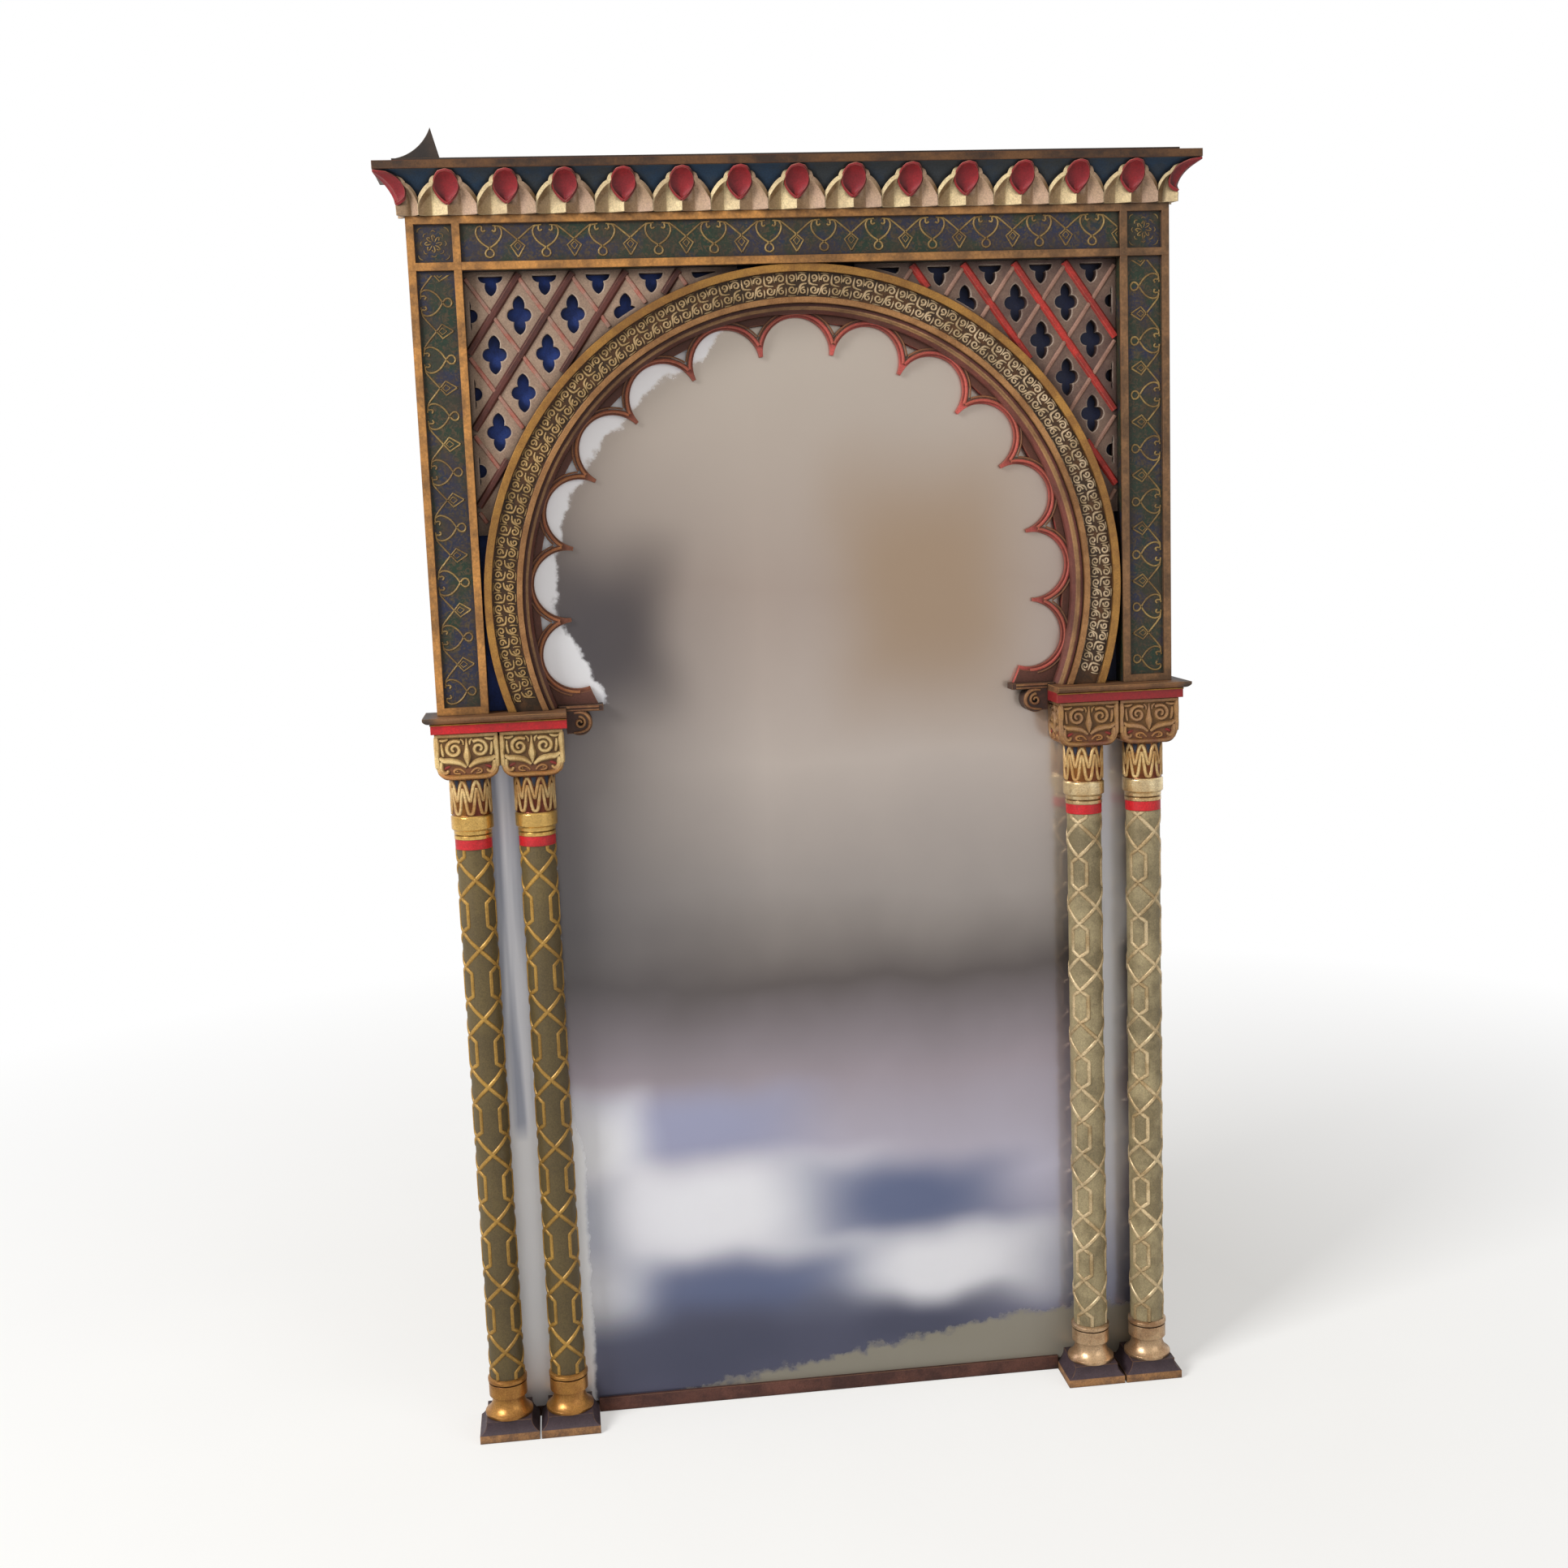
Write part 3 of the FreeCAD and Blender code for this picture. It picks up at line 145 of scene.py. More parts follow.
# Each cloud's middle across and up, half its width and half its height in mm, and its tone.
# The tall white one between the right-hand columns is painted light in their shade.
CLOUDS_AND_REFLECTIONS = ((135, 925, 80, 105, "tan"), (-215, 890, 56, 70, "smoke"), (-150, 325, 105, 36, "lavender"),
          (-252, 318, 42, 44, "white"), (338, 500, 15, 260, "white"), (-266, 224, 34, 34, "slate"),
          (-246, 138, 46, 32, "white"), (-115, 226, 135, 46, "white"), (97, 224, 98, 38, "slate"),
          (120, 139, 120, 36, "white"), (-95, 128, 112, 36, "slate"), (-130, 64, 135, 42, "dark"),
          (98, 72, 90, 26, "dark"))
CLEAR_SILVER, WHITE_SILVER, BARE_SILVER, STAINED_SILVER = 0.6, 0.2, 0.75, 0.1
plate, add, coords = start_finish("clouded_silvering")
axes = add("SeparateXYZ", {"Vector": coords})
across, height = axes.outputs["X"], axes.outputs["Z"]
drift = add("TexNoise", {"Vector": coords, "Scale": 1 / (220 * MM), "Detail": 3.0})
wander = add("MapRange", {"Value": drift, "To Min": -0.05, "To Max": 0.05})
level = add("Math", {0: height, 1: wander}, "ADD")
rise = add("MapRange", {"Value": level, "From Max": 1.24})
clouding_and_reflection_ramp = add("ValToRGB", {"Fac": rise})
stops = clouding_and_reflection_ramp.color_ramp.elements
stops[0].color = colour("65667D")
stops[1].position, stops[1].color = 0.97, colour("CCC2B6")
for position, code in ((0.1, "8A8CA4"), (0.2, "CAC7DA"), (0.3, "AAA0AA"), (0.4, "67605F"), (0.48, "A8A09B"),
                       (0.6, "CFC4B9"), (0.75, "BBACA0")):
    stops.new(position).color = colour(code)
stir = add("TexNoise", {"Vector": coords, "Scale": 1 / (120 * MM), "Detail": 1.0})
swirl = add("VectorMath", {0: stir.outputs["Color"], 1: (-0.5, -0.5, -0.5)}, "ADD")
bent = add("VectorMath", {0: swirl, 1: (0.04, 0.04, 0.04), 2: coords}, "MULTIPLY_ADD")
tone, silvered = clouding_and_reflection_ramp, CLEAR_SILVER
for middle, up, half_width, half_height, kind in CLOUDS_AND_REFLECTIONS:
    place = add("Mapping", {"Vector": bent, "Location": (-middle / half_width, 0.0, -up / half_height),
                            "Scale": (1 / (half_width * MM), 0.0, 1 / (half_height * MM))})
    sides = add("SeparateXYZ", {"Vector": add("VectorMath", {0: place}, "ABSOLUTE")})
    reach = add("Math", {0: sides.outputs["X"], 1: sides.outputs["Z"], 2: 0.9}, "SMOOTH_MAX")
    share = add(
        "MapRange", {"Value": reach, "From Min": 1.85, "From Max": 0.35}, interpolation_type="SMOOTHSTEP")
    tone = add("Mix", {0: share, 6: tone, 7: CLOUD_AND_REFLECTION_TONES[kind]}, "RGBA")
    if kind == "white":
        silvered = add("Mix", {0: share, 2: silvered, 3: WHITE_SILVER})
# Slow changes over the plate: what each follows, from where to where in metres, and its values there.
slope = {}
for name, value, start, end, low, high in (
        ("left_smoke", across, -0.27, -0.05, 0.8, 0.0), ("smoke_foot", height, 0.38, 0.56, 0.0, 1.0),
        ("smoke_head", height, 0.9, 1.1, 1.0, 0.2), ("lobe_limit", height, 0.86, 0.91, 0.246, 0.269),
        ("left_half", across, -0.1, 0.0, 0.0, -0.1), ("edge_line", height, 0.3, 0.38, -0.272, -0.2855),
        ("upper", height, 0.795, 0.815, 0.0, 1.0), ("chalk_low", level, 0.35, 0.33, 0.0, 1.0),
        ("chalk_high", height, 0.8, 0.83, 0.0, 1.0), ("stain_top", across, -0.2, 0.24, 0.008, 0.074)):
    slope[name] = add("MapRange", {
        "Value": value, "From Min": start, "From Max": end, "To Min": low, "To Max": high})
smoke = add("Math", {0: slope["left_smoke"], 1: slope["smoke_foot"]}, "MULTIPLY")
smoke = add("Math", {0: smoke, 1: slope["smoke_head"]}, "MULTIPLY")
smoked = add("Mix", {0: smoke, 6: tone, 7: "58565A"}, "RGBA")

# The bare left edge: outside a ragged circle under the lobes, and behind the columns lower down.
# Its pale streaks are lost silver, painted light and a painted reflection of the columns.
ragged = add("TexNoise", {"Vector": coords, "Scale": 1 / (22 * MM), "Detail": 5.0, "Roughness": 0.6})
fringe = add("MapRange", {"Value": ragged, "To Min": -0.02, "To Max": 0.02})
from_centre = add("VectorMath", {0: coords, 1: (0.0, -0.024, 0.926)}, "DISTANCE")
in_lobes = add("Math", {0: from_centre, 1: slope["lobe_limit"]}, "SUBTRACT")
in_lobes = add("Math", {0: in_lobes, 1: slope["left_half"]}, "ADD")
at_edge = add("Math", {0: slope["edge_line"], 1: across}, "SUBTRACT")
reach = add("Mix", {0: slope["upper"], 2: at_edge, 3: in_lobes})
torn = add("MapRange", {"Value": slope["upper"], "To Min": 0.3, "To Max": 0.75})
rag = add("Math", {0: fringe, 1: torn, 2: reach}, "MULTIPLY_ADD")
bare = add("MapRange", {"Value": rag, "From Min": -0.003, "From Max": 0.004, "To Max": 0.9},
           interpolation_type="SMOOTHSTEP")
streak_place = add("Mapping", {"Vector": coords, "Scale": (1 / (16 * MM), 0.0, 1 / (420 * MM))})
streaks = add("TexNoise", {"Vector": streak_place, "Scale": 1.0})
streak = add("MapRange", {"Value": streaks, "From Min": 0.4, "From Max": 0.6})
glassy_light_and_reflection = add("Mix", {0: streak, 6: "B0B6C6", 7: "F2F4FC"}, "RGBA")
chalk = add("Math", {0: slope["chalk_low"], 1: slope["chalk_high"]}, "MAXIMUM")
flaked_and_painted_light = add("Mix", {0: chalk, 6: glassy_light_and_reflection, 7: "F6F7FA"}, "RGBA")
cleared = add("Mix", {0: bare, 6: smoked, 7: flaked_and_painted_light}, "RGBA")

# The stain along the sill, from nothing at the left to about 75 mm up at the right.
over_stain = add("Math", {0: height, 1: slope["stain_top"]}, "SUBTRACT")
over_stain = add("Math", {0: over_stain, 1: fringe}, "ADD")
stain = add("MapRange", {"Value": over_stain, "From Min": 0.004, "From Max": -0.004, "To Max": 0.8})
plate_tone = add("Mix", {0: stain, 6: cleared, 7: "9C9682"}, "RGBA")
lost = add("Math", {0: bare, 1: stain}, "MAXIMUM")
thinned = add("Mix", {0: bare, 2: silvered, 3: BARE_SILVER})
metal = add("Mix", {0: stain, 2: thinned, 3: STAINED_SILVER})
dull = add("MapRange", {"Value": lost, "To Min": 0.2, "To Max": 0.5})
ripple = add("Bump", {"Height": stir, "Strength": 0.05, "Distance": 0.5 * MM})
end_finish(add, {"Base Color": plate_tone, "Roughness": dull, "Metallic": metal, "Normal": ripple})
dress(plate, "mirror_glass")

# Bottom rail: a narrow wooden sill that the plate stands on, painted red-brown and rubbed.
# Distemper over gesso gives the whole front its look: a matt coat, patchy, with bare wood showing
# along the edges, and its hollows darkened as old dirt and painted shade.


def tone_of(coat, add, coords):
    """A coat's colour for a node: its hex code, or what its function gives by place on the piece."""
    return coat(add, coords) if callable(coat) else coat


def worn_coat(name, coat, patch, bare, dirt_and_shade_colour="1E1712", rough=0.6, metal=0.0, patch_mm=45,
              rub_mm=1.2, rub=0.8, dirt_and_shade_amount=0.75, grit_mm=1.6, hollow_mm=7):
    """Paint or gilding on carved wood. The coat is one colour, or a function that gives it by place.
    Its hollows are darkened by ambient occlusion, as old dirt and painted shade.
    """
    material, add, coords = start_finish(name)
    patches = add(
        "TexNoise", {"Vector": coords, "Scale": 1 / (patch_mm * MM), "Detail": 6.0, "Roughness": 0.68})
    grit = add("TexNoise", {"Vector": coords, "Scale": 1 / (grit_mm * MM), "Detail": 4.0, "Roughness": 0.6})
    blotch = add("MapRange", {
        "Value": patches, "From Min": 0.42, "From Max": 0.6, "To Max": 0.55 if callable(coat) else 1.0})
    painted = add("Mix", {0: blotch, 6: tone_of(coat, add, coords), 7: patch}, "RGBA")
    speck = add(
        "MapRange", {"Value": grit, "From Min": 0.3, "From Max": 0.7, "To Min": 0.72, "To Max": 1.22})
    smoky = add("TexNoise", {"Vector": coords, "Scale": 1 / (150 * MM), "Detail": 3.0})
    age = add(
        "MapRange", {"Value": smoky, "From Min": 0.38, "From Max": 0.62, "To Min": 1.0, "To Max": 0.74})
    shade = add("Math", {0: speck, 1: age}, "MULTIPLY")
    grained = add("VectorMath", {0: painted, "Scale": shade}, "SCALE")
    rounded = add("Bevel", {"Radius": rub_mm * MM}, samples=4)
    facing = add("NewGeometry")
    turn = add("VectorMath", {0: rounded, 1: facing.outputs["Normal"]}, "DOT_PRODUCT")
    edge = add("MapRange", {"Value": turn, "From Min": 0.985, "From Max": 0.8, "To Max": rub})
    broken = add("MapRange", {"Value": patches, "From Min": 0.36, "From Max": 0.56})
    rubbed = add("Math", {0: edge, 1: broken}, "MULTIPLY")
    worn = add("Mix", {0: rubbed, 6: grained, 7: bare}, "RGBA")
    # Ambient occlusion darkens the hollows: old dirt and painted shade.
    open_sky = add("AmbientOcclusion", {"Distance": hollow_mm * MM}, samples=4)
    dirt_and_shade_share = add(
        "MapRange", {"Value": open_sky.outputs["AO"], "From Min": 0.85, "From Max": 0.3, "To Max": dirt_and_shade_amount})
    dirty_and_shaded = add("Mix", {0: dirt_and_shade_share, 6: worn, 7: dirt_and_shade_colour}, "RGBA")
    matt = add("MapRange", {"Value": patches, "To Min": rough - 0.12, "To Max": rough + 0.16})
    relief = add("Bump", {"Height": grit, "Normal": rounded, "Strength": 0.35, "Distance": 0.35 * MM})
    end_finish(add, {"Base Color": dirty_and_shaded, "Roughness": matt, "Metallic": metal, "Normal": relief})
    return material


dress(worn_coat("sill_red_brown", "6E4438", "4E2E28", "9A7250"), "bottom_rail")

# Columns: plinth, turned base, shaft, red collar, turned neck and carved capital, on one axis each.
# They are turned from lime wood, gessoed and painted or gilded. The straps of the shafts and the
# leaves of the necks are cut in low relief and picked out in gold leaf over red clay.
AXES = {"outer_left": -371, "inner_left": -303, "inner_right": 303, "outer_right": 371}
AXIS_DEPTH = 51


def by_place(low, high, split_mm, axis="Z", soft_mm=0.3):
    """A coat that changes across a line, where a coordinate or a distance function passes a value."""
    def coat(add, coords):
        if callable(axis):
            place = axis(add, coords)
        else:
            place = add("SeparateXYZ", {"Vector": coords}).outputs[axis]
        line = add("MapRange", {
            "Value": place, "From Min": (split_mm - soft_mm) * MM, "From Max": (split_mm + soft_mm) * MM})
        return add("Mix", {0: line, 6: tone_of(low, add, coords), 7: tone_of(high, add, coords)}, "RGBA")
    return coat


def painted_light_and_tone_left_to_right(left, right, middle_mm=0, blend_mm=200):
    """A slow change of coat from left to right across the whole front: mostly painted light and shade
    as they fall from the left, with old varnish and tone.
    """
    return by_place(left, right, middle_mm, axis="X", soft_mm=blend_mm)


plinth_brown = worn_coat(
    "plinth_brown", by_place("B98858", "4C3C44", 9), "3E3038", "A87848", rub=0.9, patch_mm=14)
# The bases, shafts and neck rings turn paler to the right: painted light.
base_gilt = worn_coat("base_copper_gilt", painted_light_and_tone_left_to_right("CE964E", "DDBB94"), "9A6438", "7A4A28",
                      rough=0.3, metal=0.7, patch_mm=30)
shaft_olive = worn_coat("shaft_olive", painted_light_and_tone_left_to_right("665632", "B0A07A"), "55472C", "8A7440", rough=0.55)
collar_red = worn_coat("collar_red", "DC2029", "B41A22", "C98A5A", rough=0.45, rub=0.3, dirt_and_shade_amount=0.4)
neck_gilt = worn_coat("neck_gilt", by_place(painted_light_and_tone_left_to_right("F0C470", "F4DFB0"), "6E3422", 706.5), "B88438",
                      "7A4A28", rough=0.22, metal=0.75, dirt_and_shade_amount=0.5, patch_mm=60)
for place in AXES:
    dress(plinth_brown, "plinth_" + place)
    dress(base_gilt, "column_base_" + place)
    dress(shaft_olive, "column_shaft_" + place)
    dress(neck_gilt, "column_neck_" + place)
dress(collar_red, "red_collars")


def carve(name, lines, width, kind="NURBS", closed=False, fineness=3):
    """Raised lines drawn flat as (u, v) points in mm, with an optional swelling, made one mesh."""
    bpy.ops.curve.primitive_nurbs_path_add()
    drawing = bpy.context.object
    drawing.name = name
    curve = drawing.data
    curve.splines.clear()
    for points in lines:
        spline = curve.splines.new(kind)
        spline.points.add(len(points) - 1)
        for knot, (u, v, *swelling) in zip(spline.points, points):
            knot.co = (u, v, 0, 1)
            knot.radius = swelling[0] if swelling else 1
        spline.use_cyclic_u = closed
        spline.order_u = 3
        spline.use_endpoint_u = not closed
        spline.resolution_u = fineness
    curve.bevel_depth = width / 2
    curve.bevel_resolution = 1
    curve.use_fill_caps = True
    bpy.ops.object.convert(target="MESH")
    return bpy.context.object


def pick(*pieces):
    """Selects these pieces alone and makes the first one active."""
    bpy.ops.object.select_all(action="DESELECT")
    for piece in pieces:
        piece.select_set(True)
    bpy.context.view_layer.objects.active = pieces[0]


def repeat(piece, count, step):
    """Copies a flat motif along a step, with an array that is applied."""
    pick(piece)
    bpy.ops.object.modifier_add(type="ARRAY")
    row = piece.modifiers[-1]
    row.count = count
    row.use_relative_offset = False
    row.use_constant_offset = True
    row.constant_offset_displace = step
    bpy.ops.object.modifier_apply(modifier=row.name)


def edit_whole(piece, operator, **settings):
    """Runs one edit-mode operator on the whole of a piece."""
    pick(piece)
    bpy.ops.object.mode_set(mode="EDIT")
    bpy.ops.mesh.select_all(action="SELECT")
    operator(**settings)
    bpy.ops.object.mode_set(mode="OBJECT")


def trim(piece, point, outwards):
    """Cuts a flat motif off along a line and closes the cut."""
    edit_whole(
        piece, bpy.ops.mesh.bisect, plane_co=point, plane_no=outwards, use_fill=True, clear_outer=True)


def lay(piece, onto):
    """Puts a flat mesh on its place: onto turns (u, v, w) in mm, w standing out, into metres."""
    for vertex in piece.data.vertices:
        vertex.co = Vector(onto(*vertex.co)) * MM
    piece.data.update()


def joined(name, pieces):
    pick(*pieces)
    bpy.ops.object.join()
    pieces[0].name = name
    return pieces[0]


def settle(piece, material, slot, body="mirror", both_sides=False):
    """Closes a new piece, or a left one and its right twin: finish, soft edges and body. The slot is not
    used.
    """
    piece.data.materials.clear()
    piece.data.materials.append(material)
    pick(piece)
    bpy.ops.object.shade_smooth_by_angle(angle=radians(40))
    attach(piece, body)
    if both_sides:
        settle(twin(piece, piece.name.replace("left", "right"), flip=True), material, slot)


def twin(piece, name, shift=(0, 0, 0), flip=False):
    """A copy with its own mesh, moved by a shift in mm or turned over the mirror's middle plane."""
    copy = piece.copy()
    copy.data = piece.data.copy()
    copy.name = name
    bpy.context.scene.collection.objects.link(copy)
    copy.data.transform(Matrix.Translation(Vector(shift) * MM))
    if flip:
        copy.data.transform(Matrix.Diagonal((-1, 1, 1, 1)))
        copy.data.flip_normals()
    return copy


def round_column(x, radius, bottom, flatten, turn=0):
    """Wraps a flat drawing round a column: u runs round from the front, v up and w outwards."""
    def onto(u, v, w):
        angle = u / radius + radians(turn)
        reach = radius + w * flatten
        return x + reach * sin(angle), -AXIS_DEPTH - reach * cos(angle), bottom + v
    return onto


def finer(points, step):
    """The same broken line with more points, so that it can bend round a column."""
    dense = [points[0]]
    for start, end in zip(points, points[1:]):
        count = max(1, round(dist(start, end) / step))
        dense += [tuple(a + (b - a) * k / count for a, b in zip(start, end)) for k in range(1, count + 1)]
    return dense


SHAFT_RADIUS, SHAFT_BOTTOM, SHAFT_LENGTH = 18.8, 68, 602
STRAP_PERIOD, STRAP_WIDTH, STRAP_COUNT, STRAP_END_GAP = 76.5, 4.6, 9, 0.2
# Where the straps start under each shaft's foot, in mm, and how far the shaft is turned, in degrees.
STRAP_STARTS = {
    "outer_left": (-43, 0), "inner_left": (-40, 0), "inner_right": (-39, 24), "outer_right": (-34, 24)}
half_cell = pi * SHAFT_RADIUS / 3
straps = [finer([(0, 0), (side * half_cell, 19.2), (side * 10.8, 25.6), (side * 10.8, 50.6),
                 (side * half_cell, 57), (0, STRAP_PERIOD)], 3.5) for side in (-1, 1)]
# The straps turn paler to the right: painted light.
strap_gold = worn_coat("strap_gold_leaf", painted_light_and_tone_left_to_right("C69A4A", "ECD4A8"), "8F6B2A", "6E4A2A",
                       rough=0.4, metal=0.35, patch_mm=30, dirt_and_shade_amount=0.55)
strip = carve("strapwork_strip", straps, STRAP_WIDTH, kind="POLY")
repeat(strip, 3, (2 * half_cell, 0, 0))
repeat(strip, STRAP_COUNT, (0, STRAP_PERIOD, 0))
for place, (start, turn) in STRAP_STARTS.items():
    strapwork = twin(strip, "shaft_strapwork_" + place)
    strapwork.data.transform(Matrix.Translation((0, start, 0)))
    trim(strapwork, (0, STRAP_END_GAP, 0), (0, -1, 0))
    trim(strapwork, (0, SHAFT_LENGTH - STRAP_END_GAP, 0), (0, 1, 0))
    lay(strapwork, round_column(AXES[place], SHAFT_RADIUS, SHAFT_BOTTOM, flatten=0.55, turn=turn))
    settle(strapwork, strap_gold, "shaft_olive")
bpy.data.objects.remove(strip)

NECK_RADIUS, NECK_BOTTOM, TONGUE_COUNT = 21, 707, 9
tongue = 2 * pi * NECK_RADIUS / TONGUE_COUNT
# The outlines of a leaf and of the one before it: across in shares of its width, and up in mm.
leaf_lines = [finer([(share * tongue, v) for share, v in line], 3) for line in (
    [(-0.5, 38.4), (-0.3, 33), (-0.08, 19), (0, 15), (0.08, 19), (0.3, 33), (0.5, 38.4)],
    [(-0.5, 30), (-0.42, 26), (-0.25, 8), (-0.14, 2), (0.14, 2), (0.25, 8), (0.42, 26), (0.5, 30)])]
leaves = carve("neck_leaves_outer_left", leaf_lines, 3.8)
blue_tips = carve("neck_blue_outer_left", [[(0, 38.6, 1.0), (0, 35, 0.8), (0, 28, 0.15)]], 7)
for motif, flatten in ((leaves, 0.7), (blue_tips, 0.12)):
    repeat(motif, TONGUE_COUNT, (tongue, 0, 0))
    lay(motif, round_column(AXES["outer_left"], NECK_RADIUS, NECK_BOTTOM, flatten))
leaf_gold = worn_coat(
    "leaf_cream_gold", "EAC88A", "C89858", "8A5A34", rough=0.42, metal=0.3, patch_mm=25, dirt_and_shade_amount=0.7)
night_blue = worn_coat("night_blue", "1F2A44", "141A2C", "6A5A4A")

# Capitals: carved cushions with two volutes on each face, a bud between them and curled leaves below.
# The cushion is sawn square with rounded lower corners, and the carving stands on its sunk faces.
CAPITAL_BOTTOM, CAPITAL_HEIGHT, CAPITAL_HALF = 747, 50, 33.8
GROUND_HALF, GROUND_BACK, GROUND_FRONT, CORNER_RADIUS = 30.8, 24, 75, 11


def spiral(centre, outer, inner, turns, start, way, count=26):
    """Points of a volute that winds inwards from its outer end, thinner towards its eye."""
    points = []
    for step in range(count + 1):
        share = step / count
        reach = outer + (inner - outer) * share ** 0.85
        angle = radians(start) + way * share * turns * 2 * pi
        points.append((centre[0] + reach * cos(angle), centre[1] + reach * sin(angle), 1.15 - 0.35 * share))
    return points


# Strokes of the right half of a face as (u, v, swelling), which the left half mirrors.
half_strokes = [
    spiral((13, 32.6), 10, 1.6, 1.6, 130, -1),
    [(31.2, 13, 1.2), (30.8, 20, 1.7), (31.6, 27, 1.1), (30.6, 36, 1.8), (31.2, 46, 1.3)],
    [(1.5, 13, 0.8), (6, 17.4, 1.3), (12, 19.4, 1.6), (19, 20.6, 1.6), (25.5, 20.4, 1.5), (29.5, 24, 1.0)],
    [(27.6, 20, 1.2), (28.6, 13, 1.4), (26, 8, 1.3), (21.4, 7.4, 1.0), (20.2, 10.8, 0.7)],
    [(29, 43, 0.6), (24.5, 41.4, 1.4), (19, 44, 0.6)],
    [(26.2, 39.5, 0.5), (26.6, 32.5, 1.3), (24.6, 25.6, 0.6)],
    [(6.5, 43.6, 0.5), (2.6, 41.6, 1.0), (3.4, 37, 0.4)]]
half_curls = [[(3, 7, 0.6), (6, 11, 0.8), (11, 12.2, 0.9), (15, 9.8, 0.9), (13.6, 6.6, 0.8), (8, 6.4, 0.6)],
              [(10, 9.2, 0.5), (12, 9.4, 0.7)]]
half_red = [[(18, 14.8, 0.5), (21.6, 14, 1.3), (24.6, 12, 0.8)]]
curl_strokes, red_strokes, side_strokes = (
    [[(side * u, v, swelling) for u, v, swelling in stroke] for side in (-1, 1) for stroke in half]
    for half in (half_curls, half_red, half_strokes))
face_strokes = side_strokes + [
    [(-33, 47.4, 1.3), (0, 47.4, 1.3), (33, 47.4, 1.3)],
    [(-31, 16, 1.1), (-29, 6.5, 1.3), (-20, 2.6, 1.3), (0, 2.8, 1.1), (20, 2.6, 1.3), (29, 6.5, 1.3),
     (31, 16, 1.1)],
    [(0, 44, 0.4), (0, 38, 0.7), (0, 30, 1.3), (0, 25.5, 2.1), (0, 20, 1.3), (0, 14.5, 0.4)]]


def corner_inset(v):
    """How far the rounded lower corner of the cushion draws in at a height above its bottom."""
    drop = min(CORNER_RADIUS, max(0.0, CORNER_RADIUS - v))
    return CORNER_RADIUS - sqrt(CORNER_RADIUS ** 2 - drop ** 2)


def capital_faces(name, strokes, width, x, lift):
    """The strokes on the front and on both sides of a capital, each flattened onto its sunk face."""
    faces = []
    squeeze = (GROUND_FRONT - GROUND_BACK) / (2 * CAPITAL_HALF)
    middle = (GROUND_FRONT + GROUND_BACK) / 2
    for turn in (-1, 0, 1):
        face = carve(name, strokes, width)
        if turn == 0:
            lay(face, lambda u, v, w: (x + u, -GROUND_FRONT - w * lift, CAPITAL_BOTTOM + v))
        else:
            lay(face, lambda u, v, w: (x + turn * (GROUND_HALF - corner_inset(v) + w * lift * 0.55),
                                       -middle + turn * u * squeeze, CAPITAL_BOTTOM + v))
        faces.append(face)
    return joined(name, faces)


def capital_cushion(name, x):
    """The sawn block, its two lower edges rounded by a bevel."""
    size = Vector((2 * GROUND_HALF, GROUND_FRONT - GROUND_BACK, CAPITAL_HEIGHT)) * MM
    centre = Vector((x, -(GROUND_FRONT + GROUND_BACK) / 2, CAPITAL_BOTTOM + CAPITAL_HEIGHT / 2)) * MM
    bpy.ops.mesh.primitive_cube_add(size=1, location=centre, scale=size)
    block = bpy.context.object
    bpy.ops.object.transform_apply()
    bpy.ops.object.mode_set(mode="EDIT")
    bpy.ops.mesh.select_mode(type="EDGE")
    bpy.ops.mesh.select_all(action="DESELECT")
    bpy.ops.object.mode_set(mode="OBJECT")
    low = (CAPITAL_BOTTOM + 1) * MM
    for edge in block.data.edges:
        ends = [block.data.vertices[index].co for index in edge.vertices]
        edge.select = all(end.z < low for end in ends) and abs(ends[0].y - ends[1].y) > 10 * MM
    bpy.ops.object.mode_set(mode="EDIT")
    bpy.ops.mesh.bevel(offset=CORNER_RADIUS * MM, segments=6)
    bpy.ops.object.mode_set(mode="OBJECT")
    block.name = name
    return block


# Cream gold over orange brown, and browner on the right-hand pair with painted shade and old varnish.
capital_tone = by_place(painted_light_and_tone_left_to_right("BE8048", "80503A"), painted_light_and_tone_left_to_right("EBCB8C", "A87E58"), 757, soft_mm=5)
capital_gold = worn_coat("capital_cream_gold", capital_tone, "BE9250", "8A5A34", dirt_and_shade_colour="2A1A10",
                         rough=0.42, metal=0.2, patch_mm=22, dirt_and_shade_amount=0.55)
curl_brown = worn_coat("capital_curl_brown", "C08A50", "96602E", "C08A58", dirt_and_shade_colour="2A1A10", rough=0.5)
capital_crimson = worn_coat("capital_crimson", "A02A2A", "7A2420", "A86A40", dirt_and_shade_colour="2A1A10", patch_mm=10)
first_axis = AXES["outer_left"]
capital_ground = worn_coat("capital_ground_brown", by_place("7E4A26", "74501F", 763, soft_mm=3), "4A2C14",
                           "7A4E2C", dirt_and_shade_colour="201208", dirt_and_shade_amount=0.7)
cushion = capital_cushion("capital_cushion_outer_left", first_axis)
capital = capital_faces("capital_carved_outer_left", face_strokes, 4.2, first_axis, 1.1)
capital_curls = capital_faces("capital_curls_outer_left", curl_strokes, 3.4, first_axis, 1.0)
capital_red = capital_faces("capital_red_outer_left", red_strokes, 3.4, first_axis, 0.6)
column_pieces = ((leaves, leaf_gold, "column_gilt"), (blue_tips, night_blue, "column_gilt"),
                 (cushion, capital_ground, "column_gilt"), (capital, capital_gold, "column_gilt"),
                 (capital_curls, curl_brown, "column_gilt"), (capital_red, capital_crimson, "impost_red"))
for place, x in AXES.items():
    for first, finish, slot in column_pieces:
        piece = first
        if place != "outer_left":
            piece = twin(first, first.name.replace("outer_left", place), shift=(x - first_axis, 0, 0))
        settle(piece, finish, slot)
        if first is cushion:
            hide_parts("capital_" + place)

